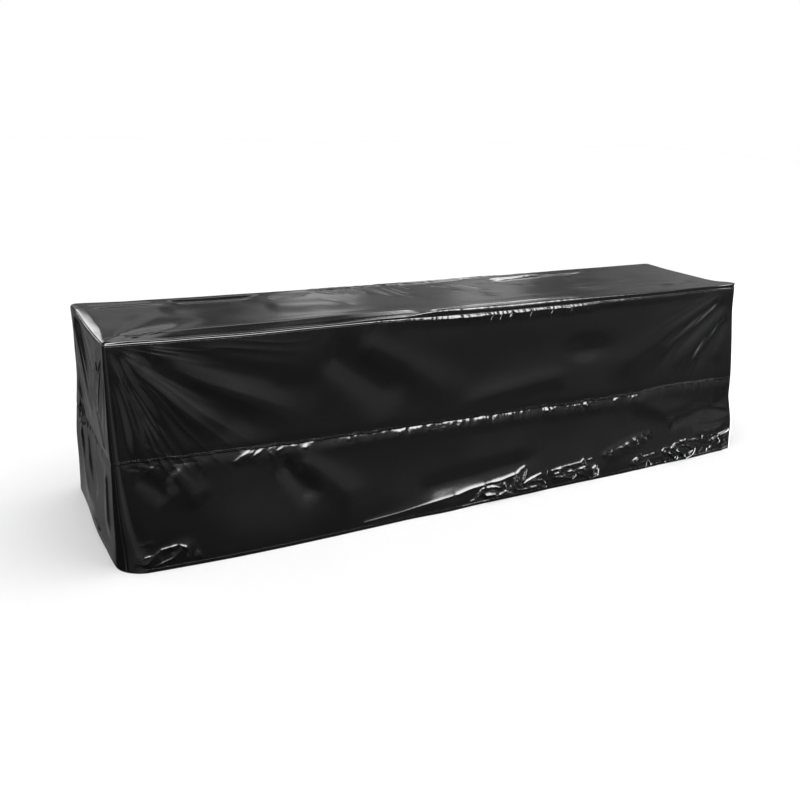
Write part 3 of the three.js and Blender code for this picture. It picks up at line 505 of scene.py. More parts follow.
def slack_height(slack, x, h, seed):
    return sum(rise * noise(x / wide, h / high, seed + k) for k, (rise, wide, high) in enumerate(slack))


def dimples(x, y, seed):
    """Rounded dimples about one unit across that meet in sharp ridges, from 0 to about 1."""
    i, j = np.floor(x), np.floor(y)
    nearest = np.full(np.shape(x), 9.0)
    for a in (-1, 0, 1):
        for b in (-1, 0, 1):
            px = i + a + 0.15 + 0.7 * random_at(i + a, j + b, seed)
            py = j + b + 0.15 + 0.7 * random_at(i + a, j + b, seed + 57)
            nearest = np.minimum(nearest, (px - x) ** 2 + (py - y) ** 2)
    return nearest


def between(x, start, end, ease):
    return smooth((x - start) / ease) * smooth((end - x) / ease)


def pucker_height(p, along, away, seed):
    """away is the distance from the seam, on the side where the puckers run out."""
    row = along + p.lean * away + 9 * noise(along / 70, away / 40, seed)
    wave = noise(row / p.pitch, away / 160, seed + 1)
    crest = (1 - np.abs(wave)) ** 3
    strength = 0.35 + 0.65 * (0.5 + 0.5 * noise(along / 85, away * 0, seed + 2))
    out = np.exp(-np.clip(away, 0, None) / p.reach) * smooth((away + 12) / 14)
    return p.rise * crest * strength * out * between(along, p.start, p.end, 50)


def crumple_height(c, x, h, seed):
    dx, dh = c.x1 - c.x0, c.h1 - c.h0
    length = math.hypot(dx, dh)
    t = ((x - c.x0) * dx + (h - c.h0) * dh) / length
    side = ((h - c.h0) * dx - (x - c.x0) * dh) / length
    bent = side + 10 * noise(t / 90, side / 90, seed)
    mask = smooth((t + 30) / 70) * smooth((length + 30 - t) / 70) * np.exp(-((side / c.half) ** 4))
    lean = t + 0.7 * bent
    big = dimples(lean / c.cell, bent / (0.62 * c.cell), seed)
    small = dimples(lean / (0.45 * c.cell) + 7, bent / (0.4 * c.cell), seed + 5)
    return c.rise * mask * (1.1 * big + 0.35 * small - 0.25)


def crease_height(c, x, h):
    """A narrow ridge with a sharp crest along the crease's points, or a hollow where rise is below zero."""
    place, far, done = np.zeros(np.shape(x)), np.full(np.shape(x), 1e9), 0.0
    for (x0, h0), (x1, h1) in zip(c.points[:-1], c.points[1:]):
        length = math.hypot(x1 - x0, h1 - h0)
        t = np.clip(((x - x0) * (x1 - x0) + (h - h0) * (h1 - h0)) / length**2, 0, 1)
        away = np.hypot(x - x0 - t * (x1 - x0), h - h0 - t * (h1 - h0))
        nearer = away < far
        place = np.where(nearer, done + t * length, place)
        far = np.where(nearer, away, far)
        done += length
    tip = 0.3 * c.wide
    ends = smooth((place + 6) / 24) * smooth((done + 6 - place) / 24)
    return c.rise * ends * np.exp(-(np.hypot(far, tip) - tip) * 1.25 / c.wide)


def fan_height(f, x, h):
    dx, dh = np.abs(x - f.x), f.h - h
    far = np.hypot(dx, dh)
    turn = np.arctan2(dh, dx + 1e-6) / (math.pi / 2)
    turn = turn + 0.02 * noise(far / 260, turn * 6, f.seed + 20)
    wave = noise(turn * f.count, far / 900, f.seed)
    crest = (1 - np.abs(wave)) ** 2 - 0.35
    grow = smooth(far / 260) * smooth((f.reach - far) / (0.6 * f.reach))
    return f.rise * crest * grow


def total(rows, height, x, h):
    return sum(height(row, x, h) for row in rows)


# ---- the drape ----
def half_sizes(name, height):
    down = (HEIGHT - height) / HEIGHT
    x, y = HALF_LENGTH + END_FLARE * down, HALF_WIDTH + SIDE_FLARE * down
    return (x, y) if name in ("front", "back") else (y, x)


def corner_radius(corner, height):
    top, hem = CORNER_RADIUS[corner]
    return lerp(top, hem, ((HEIGHT - height) / HEIGHT) ** 2)


Stations = namedtuple("Stations", "run turn side")


def stations_of(run):
    """Columns of a wall: half an arc, the straight run, half an arc. side is -1, 0 or 1."""
    arc = np.linspace(math.pi / 4, 0, ARC_CELLS + 1)[:-1]
    blank = np.zeros(ARC_CELLS)
    return Stations(
        np.concatenate([blank, run, blank]),
        np.concatenate([arc, run * 0, arc[::-1]]),
        np.concatenate([blank - 1, run * 0, blank + 1]),
    )


Place = namedtuple("Place", "along out tilt inside")


def plan_place(name, st, height):
    """Place of each column at a height, how far its outward direction is turned, and the distance from
    the nearer corner seam."""
    half_along, half_out = half_sizes(name, height)
    first, second = (corner_radius(c, height) for c in WALLS[name].corners)
    run = lerp(first - half_along, half_along - second, st.run)
    radius = np.where(st.side < 0, first, second)
    arc = st.side * (half_along - radius + radius * np.sin(st.turn))
    on_run = st.side == 0
    along = np.where(on_run, run, arc)
    out = half_out - np.where(on_run, 0, radius * (1 - np.cos(st.turn)))
    cut = 1 - math.sqrt(0.5)
    run_inside = np.minimum(run + half_along - first * cut, half_along - run - second * cut)
    inside = np.where(on_run, run_inside, radius * (math.sqrt(0.5) - np.sin(st.turn)))
    return Place(along, out, st.side * st.turn, inside)


def wall_top(name, st):
    return HEIGHT - column_at(BORDER[name], plan_place(name, st, HEIGHT).along, "seam")


def wall_middle(name, st):
    """The middle seam, with the small bends that its stitching gives it."""
    p = plan_place(name, st, HEIGHT)
    bends = ripples(p.along, MIDDLE_BENDS, 71)
    return column_at(MIDDLE_SEAM[name], p.along, "height") + bends * smooth(p.inside / 60)


def drawn_edge(table, edge, along, below):
    """The lip that a drawn seam has just below it."""
    rise, reach = edge
    u = np.clip(below, 0, None) / reach
    uneven = 0.65 + ripples(along, DRAWN_UNEVEN, 61)
    return rise * column_at(table, along, "pull") * uneven * u * np.exp(1 - u)


def ledge_height(under):
    """A straight ramp that starts at the seam, then eases back to the wall."""
    done = LEDGE_START + LEDGE_RAMP
    back = bell(np.clip(under - done, 0, None), LEDGE_DECAY)
    return np.clip((under - LEDGE_START) / LEDGE_RAMP, 0, 1) * back


def main_relief(name, st, along, height):
    """The folds that the solid has too."""
    under = wall_top(name, st) - height
    over = height - wall_middle(name, st)
    pull = column_at(MIDDLE_DRAWN[name], along, "pull")
    return (
        column_at(BORDER[name], along, "ledge") * ledge_height(under)
        - SEAM_DRAW[0] * (0.3 + 0.7 * pull) * bell(over, SEAM_DRAW[1])
        + SEAM_LIP[0] * (0.05 + 0.45 * pull) * bell(over + SEAM_LIP[1], SEAM_LIP[2])
        + total(FOLDS[name], fold_height, along, height)
        + total(BILLOWS[name], billow_height, along, height)
    )


def fine_relief(name, st, along, height):
    """Drawn edges, puckers, creases, crumples and the slack of the cloth."""
    seed = 100 * list(WALLS).index(name)
    below_top = wall_top(name, st) - height
    below_middle = wall_middle(name, st) - height
    relief = slack_height(SLACK, along, height, seed + 1)
    uneven = ripples(along, LEDGE_UNEVEN, seed + 3)
    for place, half in LEDGE_NOTCHES[name]:
        uneven -= NOTCH_DEPTH * bell(along + NOTCH_SLANT * below_top - place, half)
    late = ripples(along, LEDGE_LATE, seed + 5)
    ledge = ledge_height(below_top + late) * (1 + uneven) - ledge_height(below_top)
    relief += column_at(BORDER[name], along, "ledge") * ledge
    depth, above, below = MIDDLE_GROOVE
    groove = bell(below_middle, np.where(below_middle < 0, above, below))
    relief -= depth * (0.55 + 0.45 * column_at(MIDDLE_DRAWN[name], along, "pull")) * groove
    relief += drawn_edge(TOP_DRAWN[name], TOP_EDGE, along, below_top)
    relief += drawn_edge(MIDDLE_DRAWN[name], MIDDLE_EDGE, along, below_middle)
    for k, p in enumerate(TOP_PUCKERS[name]):
        relief += pucker_height(p, along, below_top, seed + 10 + k)
    share_above, start_above = PUCKERS_ABOVE
    for k, p in enumerate(MIDDLE_PUCKERS[name]):
        relief += pucker_height(p, along, below_middle, seed + 30 + k)
        relief += share_above * pucker_height(p, along, -below_middle - start_above, seed + 30 + k)
    for k, c in enumerate(CRUMPLES[name]):
        relief += crumple_height(c, along, height, seed + 50 + k)
    relief += total(CREASES[name], crease_height, along, height)
    relief += total(BUMPS[name], billow_height, along, height)
    fans = total(FANS[name], fan_height, along, height)
    return relief + fans * smooth(below_top / 60) * smooth((60 - below_middle) / 60 + 1)


def corner_lift(name, st, p, height):
    first, second = WALLS[name].corners
    nearer_first = np.where(st.side == 0, st.run < 0.5, st.side < 0)
    lifts = [
        sum(b.rise * bell(height - b.height, b.high) for b in CORNER_BULGES[corner])
        for corner in (first, second)
    ]
    return np.where(nearer_first, *lifts) * bell(p.inside, BULGE_REACH)


def wall_lift(name, st, p, height):
    fade = smooth(p.inside / CORNER_FADE)
    fine_fade = smooth(p.inside / FINE_FADE)
    main = main_relief(name, st, p.along, height) * fade
    return main + fine_relief(name, st, p.along, height) * fine_fade + corner_lift(name, st, p, height)


def wall_face(name, st, p, height, lift):
    """Points of a wall's grid of rows and columns that stand out by lift, in metres."""
    wall = WALLS[name]
    edge = (st.turn == math.pi / 4) * SEAM_GAP / 2
    side, out = np.sin(p.tilt), np.cos(p.tilt)
    a = p.along + side * lift - st.side * out * edge
    o = p.out + out * lift + np.abs(side) * edge
    x = wall.along[0] * a + wall.out[0] * o
    y = wall.along[1] * a + wall.out[1] * o
    return np.stack([x, y, FLOOR_Z + height + 0 * a], axis=-1) * MM


def fall_of(name, at, inside):
    crest = column_at(BORDER[name], at, "crest")
    return column_at(BORDER[name], at, "fall") * np.clip(1 - inside / crest, 0, None) ** FALL_CURVE[name]


def top_height(x, y):
    fall = (
        fall_of("front", x, HALF_WIDTH + y)
        + fall_of("right", y, HALF_LENGTH - x)
        + fall_of("back", -x, HALF_WIDTH - y)
        + fall_of("left", -y, HALF_LENGTH + x)
    )
    edge = np.minimum(HALF_WIDTH - np.abs(y), HALF_LENGTH - np.abs(x))
    spot = smooth((np.hypot(x, y) - LEVEL_SPOT[0]) / (LEVEL_SPOT[1] - LEVEL_SPOT[0]))
    main = total(TOP_FOLDS, fold_height, x, y) * smooth(edge / TOP_INSET) * spot
    fine = slack_height(TOP_SLACK, x, y, 901)
    for k, p in enumerate(REAR_PUCKERS):
        fine += pucker_height(p, x, HALF_WIDTH - y, 920 + k)
    fine += total(FINE_TOP_FOLDS, fold_height, x, y)
    behind = HALF_WIDTH + y - column_at(BORDER["front"], x, "crest")
    rise, wide, slope = (column_at(RIDGE, x, column) for column in ("rise", "wide", "slope"))
    bench = slope * np.clip(wide - behind, 0, wide)
    rear = bell(np.clip(behind - wide, 0, None), RIDGE_REAR)
    near = np.clip(1 + behind / column_at(BORDER["front"], x, "crest"), 0, 1)
    line = (rise * rear - bench) * near
    return HEIGHT - fall + main + (fine + line) * smooth(edge / FINE_FADE)


# ---- sheets ----
ARC_CELLS = 8  # of half an upright corner
ROLL_ROWS = 8  # over the rolled edge of the top
TOP_ROWS = ((0.28, 36), (0.88, 22), (1.0, 20))  # of the top: how far from its rear, how many up to there
INNER_STEP = 4  # the hidden face has one point for this many of the outer one's, each way
# Bands where the rows stand closer: below the upper seam, on both sides of the middle one, above the hem.
TOP_BAND, MIDDLE_BAND, HEM_BANDS = 60, 50, (215, 130)


class Sheet:
    """Outer and inner points and the faces of the outer side, closed with a rim."""

    def __init__(self):
        self.outer, self.inner, self.faces, self.count = [], [], [], 0

    def add(self, outer, inner):
        """Adds points of any shape (..., 3) and returns their numbers in the same shape."""
        size = outer.shape[:-1]
        numbers = self.count + np.arange(int(np.prod(size))).reshape(size)
        self.outer.append(outer.reshape(-1, 3))
        self.inner.append(inner.reshape(-1, 3))
        self.count += numbers.size
        return numbers

    def band(self, upper, lower):
        self.faces.append(np.stack([upper[:-1], lower[:-1], lower[1:], upper[1:]], axis=-1))

    def triangles(self, corners):
        corners = np.array(corners)
        self.faces.append(np.column_stack([corners, corners[:, 2]]))

    def mesh(self, name):
        faces = np.concatenate([f.reshape(-1, 4) for f in self.faces])
        ends = np.roll(faces, -1, axis=1)
        a, b = faces.ravel(), ends.ravel()
        real = a != b
        a, b = a[real], b[real]
        key, back = a * self.count + b, b * self.count + a
        open_edge = ~np.isin(key, back)
        a, b = a[open_edge], b[open_edge]
        rim = np.stack([b, a, a + self.count, b + self.count], axis=-1)
        points = np.concatenate(self.outer + self.inner)
        return build_mesh(name, points, np.concatenate([faces, faces[:, ::-1] + self.count, rim]))


def add_object(name, data):
    made = bpy.data.objects.new(name, data)
    bpy.context.scene.collection.objects.link(made)
    return made


def build_mesh(name, points, quads, flat=0, measures=None):
    """A smooth mesh from points and faces of four corners, or three where one repeats; the last `flat`
    faces are a flat rim. measures holds a value for each point under each name."""
    repeats = quads == np.roll(quads, 1, axis=1)
    keep = ~repeats
    sizes = keep.sum(axis=1)
    mesh = bpy.data.meshes.new(name)
    mesh.vertices.add(len(points))
    mesh.vertices.foreach_set("co", points.astype(np.float32).ravel())
    mesh.loops.add(int(sizes.sum()))
    mesh.loops.foreach_set("vertex_index", quads[keep].astype(np.int32))
    mesh.polygons.add(len(quads))
    mesh.polygons.foreach_set("loop_start", np.concatenate([[0], np.cumsum(sizes)[:-1]]).astype(np.int32))
    mesh.polygons.foreach_set("loop_total", sizes.astype(np.int32))
    mesh.update(calc_edges=True)
    mesh.validate()
    mesh.polygons.foreach_set("use_smooth", np.arange(len(mesh.polygons)) < len(mesh.polygons) - flat)
    for label, values in (measures or {}).items():
        mesh.attributes.new(label, "FLOAT", "POINT").data.foreach_set("value", values.astype(np.float32))
    return add_object(name, mesh)


def spread(marks, counts):
    """Heights of rows: from one mark to the next in the given numbers of steps, marks given per column."""
    rows = [marks[0]]
    for start, end, count in zip(marks[:-1], marks[1:], counts):
        rows += [lerp(start, end, k / count) for k in range(1, count + 1)]
    return np.array([np.broadcast_to(r, np.shape(marks[0])) for r in rows])


Zone = namedtuple("Zone", "start end extra")


def shares_of(zones, half, cells):
    """Shares of a wall's run for its columns, closer together in the zones."""
    at = np.linspace(-half, half, 2001)
    weight = np.ones(len(at))
    for zone in zones:
        weight += zone.extra * between(at, zone.start - 40, zone.end + 40, 40)
    done = np.concatenate([[0], np.cumsum((weight[1:] + weight[:-1]) / 2)])
    return np.interp(np.linspace(0, done[-1], cells + 1), done, (at + half) / (2 * half))


def every(count):
    kept = list(range(0, count - 1, INNER_STEP))
    if count - 1 - kept[-1] < INNER_STEP and len(kept) > 1:
        kept.pop()
    return np.array(kept + [count - 1])


def lowest_near(values, reach):
    """The least of the values up to reach away, along both directions of a grid."""
    for axis in (0, 1):
        before, after = (np.take(values, [end] * reach, axis) for end in (0, -1))
        wide = np.concatenate([before, values, after], axis)
        count = values.shape[axis]
        values = np.minimum.reduce([np.take(wide, range(k, k + count), axis) for k in range(2 * reach + 1)])
    return values


def stitch(outer, inner, kept, forward):
    """The rim between an edge of the outer face and the sparser edge of the inner one."""
    faces = []
    for i, (start, end) in enumerate(zip(kept[:-1], kept[1:])):
        for k in range(start, end):
            a, b = (outer[k], outer[k + 1]) if forward else (outer[k + 1], outer[k])
            faces.append((a, b, inner[i], inner[i]))
        a, b = (inner[i], outer[end]) if forward else (outer[end], inner[i])
        faces.append((a, b, inner[i + 1], inner[i + 1]))
    return faces


def grid_faces(rows, turned=False):
    corners = [rows[:-1, :-1], rows[1:, :-1], rows[1:, 1:], rows[:-1, 1:]]
    return np.stack(corners[::-1] if turned else corners, axis=-1).reshape(-1, 4)


def wall_sheet(name, label, run, layer, marks, counts, tucked=0):
    """marks are the heights between which rows are spread; the first `tucked` rows lie behind a lap."""
    st = stations_of(run)
    heights = spread([m + 0 * st.run for m in marks(name, st)], counts)
    tuck = np.zeros((len(heights), 1))
    tuck[:tucked] = TUCK
    p = plan_place(name, st, heights)
    lift = wall_lift(name, st, p, heights) + layer * LAYER_STEP - tuck
    outer = wall_face(name, st, p, heights, lift)

    rows, columns = every(lift.shape[0]), every(lift.shape[1])
    few = Stations(*(part[columns] for part in st))
    heights_few = heights[np.ix_(rows, columns)]
    place_few = plan_place(name, few, heights_few)
    lift_few = lowest_near(lift, INNER_STEP + 2)[np.ix_(rows, columns)] - THICKNESS
    inner = wall_face(name, few, place_few, heights_few, lift_few)

    a = np.arange(outer.shape[0] * outer.shape[1]).reshape(outer.shape[:2])
    b = a.size + np.arange(inner.shape[0] * inner.shape[1]).reshape(inner.shape[:2])
    rim = (
        stitch(a[0], b[0], columns, True)
        + stitch(a[-1], b[-1], columns, False)
        + stitch(a[:, 0], b[:, 0], rows, False)
        + stitch(a[:, -1], b[:, -1], rows, True)
    )
    faces = np.concatenate([grid_faces(a), grid_faces(b, turned=True), np.array(rim)])

    def both(full, few_of):
        return np.concatenate([full.ravel(), few_of.ravel()]) * MM

    measures = {
        "along": both(p.along, place_few.along),
        "above_edge": both(heights - heights[-1], heights_few - heights_few[-1]),
        "below_edge": both(heights[0] - heights, heights_few[0] - heights_few),
    }
    points = np.concatenate([outer.reshape(-1, 3), inner.reshape(-1, 3)])
    return build_mesh(label, points, faces, len(rim), measures)


def upper_marks(name, st):
    top, middle = wall_top(name, st), wall_middle(name, st)
    return [top, top - TOP_BAND, middle + MIDDLE_BAND, middle]


def lower_marks(name, st):
    middle = wall_middle(name, st)
    return [middle + LAP, middle, middle - MIDDLE_BAND, *HEM_BANDS, 0]


def border_rows(name, st):
    """The turned-down border: over the roll, down to the seam, and behind the wall."""
    wall = WALLS[name]
    seam = wall_top(name, st)
    p = plan_place(name, st, seam)
    side, out = np.sin(p.tilt), np.cos(p.tilt)
    roll = column_at(BORDER[name], p.along, "roll")
    drop = HEIGHT - column_at(BORDER[name], p.along, "fall") - seam - ROLL_CLEAR
    last_turn = np.arccos(np.clip(1 - drop / roll, 0, None))
    lift = wall_lift(name, st, p, seam)

    def plan(offset):
        a, o = p.along + side * (offset + lift), p.out + out * (offset + lift)
        return wall.along[0] * a + wall.out[0] * o, wall.along[1] * a + wall.out[1] * o

    outer, inner = [], []
    for share in np.linspace(0, 1, ROLL_ROWS):
        sin, cos = np.sin(share * last_turn), np.cos(share * last_turn)
        level = top_height(*plan(roll * (sin - 1))) - roll
        for faces, radius in ((outer, roll), (inner, roll - THICKNESS)):
            x, y = plan(radius * sin - roll)
            z = FLOOR_Z + level + radius * cos
            faces.append(np.stack([x, y, z], axis=-1) * MM)
    rolled = outer[-1][:, 2] / MM - FLOOR_Z
    to_seam, tucked = 2, 3
    heights = spread([rolled, seam, seam - LAP], [to_seam, tucked])[1:]
    tuck = np.array([0] * to_seam + [TUCK] * tucked)[:, None]
    planned = np.minimum(heights, seam)
    p = plan_place(name, st, planned)
    lift = wall_lift(name, st, p, planned) - tuck
    hung_outer = wall_face(name, st, p, heights, lift)
    hung_inner = wall_face(name, st, p, heights, lift - THICKNESS)
    return np.concatenate([outer, hung_outer]), np.concatenate([inner, hung_inner])


def top_sheet(label, long_cells):
    sheet = Sheet()
    across = np.linspace(0, 1, long_cells + 1)
    deep = [0.0]
    for end, count in TOP_ROWS:
        deep.extend(np.linspace(deep[-1], end, count + 1)[1:])
    deep = np.array(deep)
    runs = {"front": across, "right": 1 - deep[::-1], "back": across, "left": deep}
    columns = [border_rows(name, stations_of(run)) for name, run in runs.items()]
    outer = np.concatenate([c[0][:, :-1] for c in columns], axis=1)
    inner = np.concatenate([c[1][:, :-1] for c in columns], axis=1)
    rings = sheet.add(outer, inner)
    rings = np.concatenate([rings, rings[:, :1]], axis=1)
    for upper, lower in zip(rings[:-1], rings[1:]):
        sheet.band(upper, lower)

    corner = CORNER_RADIUS["front_left"][0]
    share, down = np.meshgrid(across, deep)
    x = lerp(corner - HALF_LENGTH, HALF_LENGTH - corner, share)
    rear = np.maximum(corner, column_at(BORDER["back"], -x, "roll") + GRID_CLEAR)
    near = np.maximum(corner, column_at(BORDER["front"], x, "roll") + GRID_CLEAR)
    y = lerp(HALF_WIDTH - rear, near - HALF_WIDTH, down)
    z = FLOOR_Z + top_height(x, y)
    grid = sheet.add(np.stack([x, y, z], -1) * MM, np.stack([x, y, z - THICKNESS], -1) * MM)
    for upper, lower in zip(grid[:-1], grid[1:]):
        sheet.band(upper, lower)

    edges = {"front": grid[-1], "right": grid[::-1, -1], "back": grid[0, ::-1], "left": grid[:, 0]}
    start = 0
    for name, run in runs.items():
        end = start + len(run) + 2 * ARC_CELLS
        margin(sheet, rings[0, start:end], edges[name])
        start = end - 1
    return sheet.mesh(label)


def margin(sheet, ring, edge):
    """Joins the grid of the top to the inner ring of its border along one wall."""
    run = ring[ARC_CELLS:len(ring) - ARC_CELLS]
    sheet.band(edge, run)
    for k in range(ARC_CELLS):
        last = len(ring) - 1
        sheet.triangles([[ring[k], ring[k + 1], edge[0]], [ring[last - k - 1], ring[last - k], edge[-1]]])


# ---- materials ----
def join(tree, made, *first, **named):
    """Gives a node its first inputs in turn, and other inputs and settings by name, with _ for a space:
    each is a value or another node's output."""
    for key, value in [*named.items(), *enumerate(first)]:
        place = key.replace("_", " ") if isinstance(key, str) else key
        if isinstance(key, str) and place not in made.inputs:
            setattr(made, key, value)
        elif isinstance(value, bpy.types.NodeSocket):
            tree.links.new(value, made.inputs[place])
        else:
            made.inputs[place].default_value = value
    return made


def node(tree, kind, *first, **named):
    return join(tree, tree.nodes.new("ShaderNode" + kind), *first, **named)


def maths(tree, operation, *values):
    return node(tree, "Math", *values, operation=operation).outputs[0]


def eased(tree, value, start, end, low=0.0, high=1.0):
    """From low to high as a value goes from start to end."""
    return node(tree, "MapRange", value, start, end, low, high, interpolation_type="SMOOTHSTEP").outputs[0]


def new_material(name):
    material = bpy.data.materials.new(name)
    material.use_nodes = True
    return material, material.node_tree, material.node_tree.nodes["Principled BSDF"]


STITCH_LENGTH, STITCH_WIDTH, STITCH_DEPTH = 0.0058, 0.0011, 0.0007
# Noise of the coated cloth: its scale and detail.
TONE_NOISE, GLOSS_NOISE, WRINKLE_NOISE, GRAIN_NOISE = (3.0, 3.0), (7.0, 5.0), (26.0, 4.0), (700.0, 2.0)
WRINKLE_DEPTH, GRAIN_DEPTH = 0.0016, 0.0002


def stitch_height(tree, measure, away):
    """A row of dents, one for each stitch, at a distance from an edge of the cloth."""
    def value_of(label):
        return node(tree, "Attribute", attribute_name=label).outputs["Fac"]

    off = maths(tree, "ABSOLUTE", maths(tree, "SUBTRACT", value_of(measure), away))
    across = maths(tree, "MAXIMUM", maths(tree, "MULTIPLY_ADD", off, -1 / STITCH_WIDTH, 1.0), 0.0)
    wave = maths(tree, "SINE", maths(tree, "MULTIPLY", value_of("along"), 2 * math.pi / STITCH_LENGTH))
    dash = maths(tree, "MINIMUM", maths(tree, "MAXIMUM", maths(tree, "ADD", wave, 0.6), 0.0), 1.0)
    return maths(tree, "MULTIPLY", maths(tree, "MULTIPLY", across, dash), -1.0)


def vinyl(name, base, roughness, grain, stitches=()):
    """Glossy coated cloth: a fine leathery grain, small scuffs, and a slight change of gloss."""
    material, tree, shader = new_material(name)
    place = node(tree, "TexCoord").outputs["Object"]

    def noise_of(scale, detail):
        return node(tree, "TexNoise", Scale=scale, Detail=detail, Vector=place).outputs["Fac"]

    def bump(height, strength, distance, **below):
        return node(tree, "Bump", Strength=strength, Distance=distance, Height=height, **below).outputs[0]

    dark, light = ((*(c * tone for c in base), 1) for tone in (0.75, 1.3))
    tone = node(tree, "Mix", data_type="RGBA", A=dark, B=light, Factor=noise_of(*TONE_NOISE))
    gloss = node(tree, "MapRange", noise_of(*GLOSS_NOISE), To_Min=roughness * 0.8, To_Max=roughness * 1.25)
    normal = bump(noise_of(*WRINKLE_NOISE), 0.3, WRINKLE_DEPTH)
    normal = bump(noise_of(*GRAIN_NOISE), grain, GRAIN_DEPTH, Normal=normal)
    for measure, away in stitches:
        normal = bump(stitch_height(tree, measure, away), 0.8, STITCH_DEPTH, Normal=normal)
    join(tree, shader, Base_Color=tone.outputs["Result"], Roughness=gloss.outputs["Result"], Normal=normal)
    join(tree, shader, IOR=1.5, Coat_Weight=0.4, Coat_Roughness=0.15)
    return material


# ---- the cover ----
# All three are one vinyl. The walls' base colours are set darker than the top's, which is painted shade on
# the walls, and the lower cloths' colour is darker again than the upper cloths'.
top_vinyl = vinyl("top_vinyl", (0.0045, 0.0045, 0.005), 0.17, 0.25)
upper_stitches = [("above_edge", 0.008), ("above_edge", 0.014), ("below_edge", 0.008)]
upper_vinyl = vinyl("upper_vinyl", (0.0030, 0.0030, 0.0034), 0.20, 0.2, upper_stitches)
lower_vinyl = vinyl("lower_vinyl", (0.0028, 0.0028, 0.0032), 0.20, 0.2, [("above_edge", 0.016)])

TOP_CELLS = 420  # columns of the top
Sizes = namedtuple("Sizes", "cells upper lower")
GRID = {  # columns of each wall, and the rows of its two cloths from mark to mark
    "front": Sizes(900, (20, 48, 14), (3, 17, 18, 16, 44)),
    "right": Sizes(150, (12, 40, 12), (3, 13, 18, 12, 24)),
    "back": Sizes(520, (10, 32, 9), (3, 11, 14, 10, 20)),
    "left": Sizes(190, (15, 52, 14), (3, 16, 22, 14, 30)),
}
CLOSER = {  # where the columns of the two cloths of a wall stand closer together
    "front": (
        [Zone(-1330, -1080, 0.3), Zone(-400, 420, 0.5)],
        [Zone(-1790, -1530, 0.8), Zone(-60, 780, 1.2), Zone(1030, 1820, 0.9)],
    ),
}


def dress(piece, cad_node, material):
    piece.data.materials.append(material)
    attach(piece, "root")
    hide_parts(cad_node)


dress(top_sheet("top_cloth", TOP_CELLS), "top_panel", top_vinyl)
for wall_name, size in GRID.items():
    half = half_sizes(wall_name, HEIGHT)[0]
    runs = [shares_of(zones, half, size.cells) for zones in CLOSER.get(wall_name, ([], []))]
    upper = wall_sheet(wall_name, f"upper_{wall_name}_cloth", runs[0], 1, upper_marks, size.upper)
    dress(upper, f"upper_{wall_name}", upper_vinyl)
    hidden = size.lower[0]
    lower = wall_sheet(wall_name, f"lower_{wall_name}_cloth", runs[1], 0, lower_marks, size.lower, hidden)
    dress(lower, f"lower_{wall_name}", lower_vinyl)

# ---- stage ----
FLOOR_HALF = 30.0
FLOOR_DROP = 0.0006  # the floor lies this much below the hem


def make_floor():
    z = FLOOR_Z * MM - FLOOR_DROP
    corners = [(x * FLOOR_HALF, y * FLOOR_HALF, z) for x, y in ((-1, -1), (1, -1), (1, 1), (-1, 1))]
    mesh = bpy.data.meshes.new("floor")
    mesh.from_pydata(corners, [], [(0, 1, 2, 3)])
    material, tree, shader = new_material("pale_floor")
    join(tree, shader, Roughness=0.8, Specular_IOR_Level=0.1, Base_Color=(0.93, 0.93, 0.93, 1))
    # What the vinyl mirrors of the floor is part of the studio below, so mirrored rays go through.
    mirrored = node(tree, "LightPath").outputs["Is Glossy Ray"]
    clear = node(tree, "BsdfTransparent").outputs[0]
    mix = node(tree, "MixShader", mirrored, shader.outputs[0], clear)
    join(tree, tree.nodes["Material Output"], mix.outputs[0])
    mesh.materials.append(material)
    floor = add_object("floor", mesh)


# What the vinyl mirrors: soft patches of light round the studio, as a direction, the angles in degrees at
# which a patch ends and is full, and its strength.
Patch = namedtuple("Patch", "x y z edge full strength")
STUDIO = named_rows(Patch, [
    (0.10, -0.46, 0.88, 42, 22, 15.0),
    (-0.185, 0.952, 0.242, 8, 3, 4.5), (-0.045, 0.956, 0.288, 4, 1.5, 3.5),
    (0.391, 0.891, 0.232, 3.5, 0.5, 0.5), (0.556, 0.675, 0.485, 7, 3, 4.0),
    (0.93, 0.10, -0.36, 30, 14, 7.0), (-0.80, -0.60, -0.05, 36, 15, 0.16), (-0.42, -0.90, -0.15, 24, 8, 0.3),
])
# Fainter, mottled patches: the room in front, the floor in front and the floor behind.
ROOM = named_rows(Patch, [
    (0.45, -0.80, 0.53, 40, 10, 0.30), (0.52, -0.81, -0.24, 38, 10, 0.10),
    (-0.165, 0.925, -0.345, 22, 4, 0.21),
])
MOTTLE = (0.35, 0.65, 0.35, 1.65)  # from and to which noise, from and to which strength
STUDIO_BASE = 0.02
ROOM_LIGHT = 1.06  # the even light on what is dull, such as the floor
# Strips of light behind the cover: where each begins and ends above the horizon, in degrees, how softly,
# and its strength.
STRIPS = [(2.0, 5.0, 2.0, 0.12), (25.0, 36.0, 2.0, 0.8)]
STRIP_BEHIND = (0.3, 0.8)  # how far to the rear a strip begins and is full; straight back is 1
# The wall of the room behind the cover, which the top mirrors: its strength at angles round from straight
# back to the right, in degrees. Then the angles above the horizon between which it comes up and goes, and
# what share of its strength it has at each.
REAR_WALL = [
    (4, 0.20), (14, 0.23), (15.5, 0.06), (17, 0.06), (20, 0.20), (22, 0.48), (25, 0.45), (27, 0.20),
    (32, 0.20), (34, 0.50), (36.5, 0.42), (38.5, 0.10), (41, 0.06), (44, 0.17), (49, 0.30), (70, 0.10),
]
REAR_WALL_UP = (4.0, 9.0, 0.12, 1.0)
REAR_WALL_DOWN = (16.5, 23.0, 1.0, 0.08)


def rise_of(angle):
    """How high a direction of unit length reaches at an angle above the horizon, in degrees."""
    return math.sin(math.radians(angle))


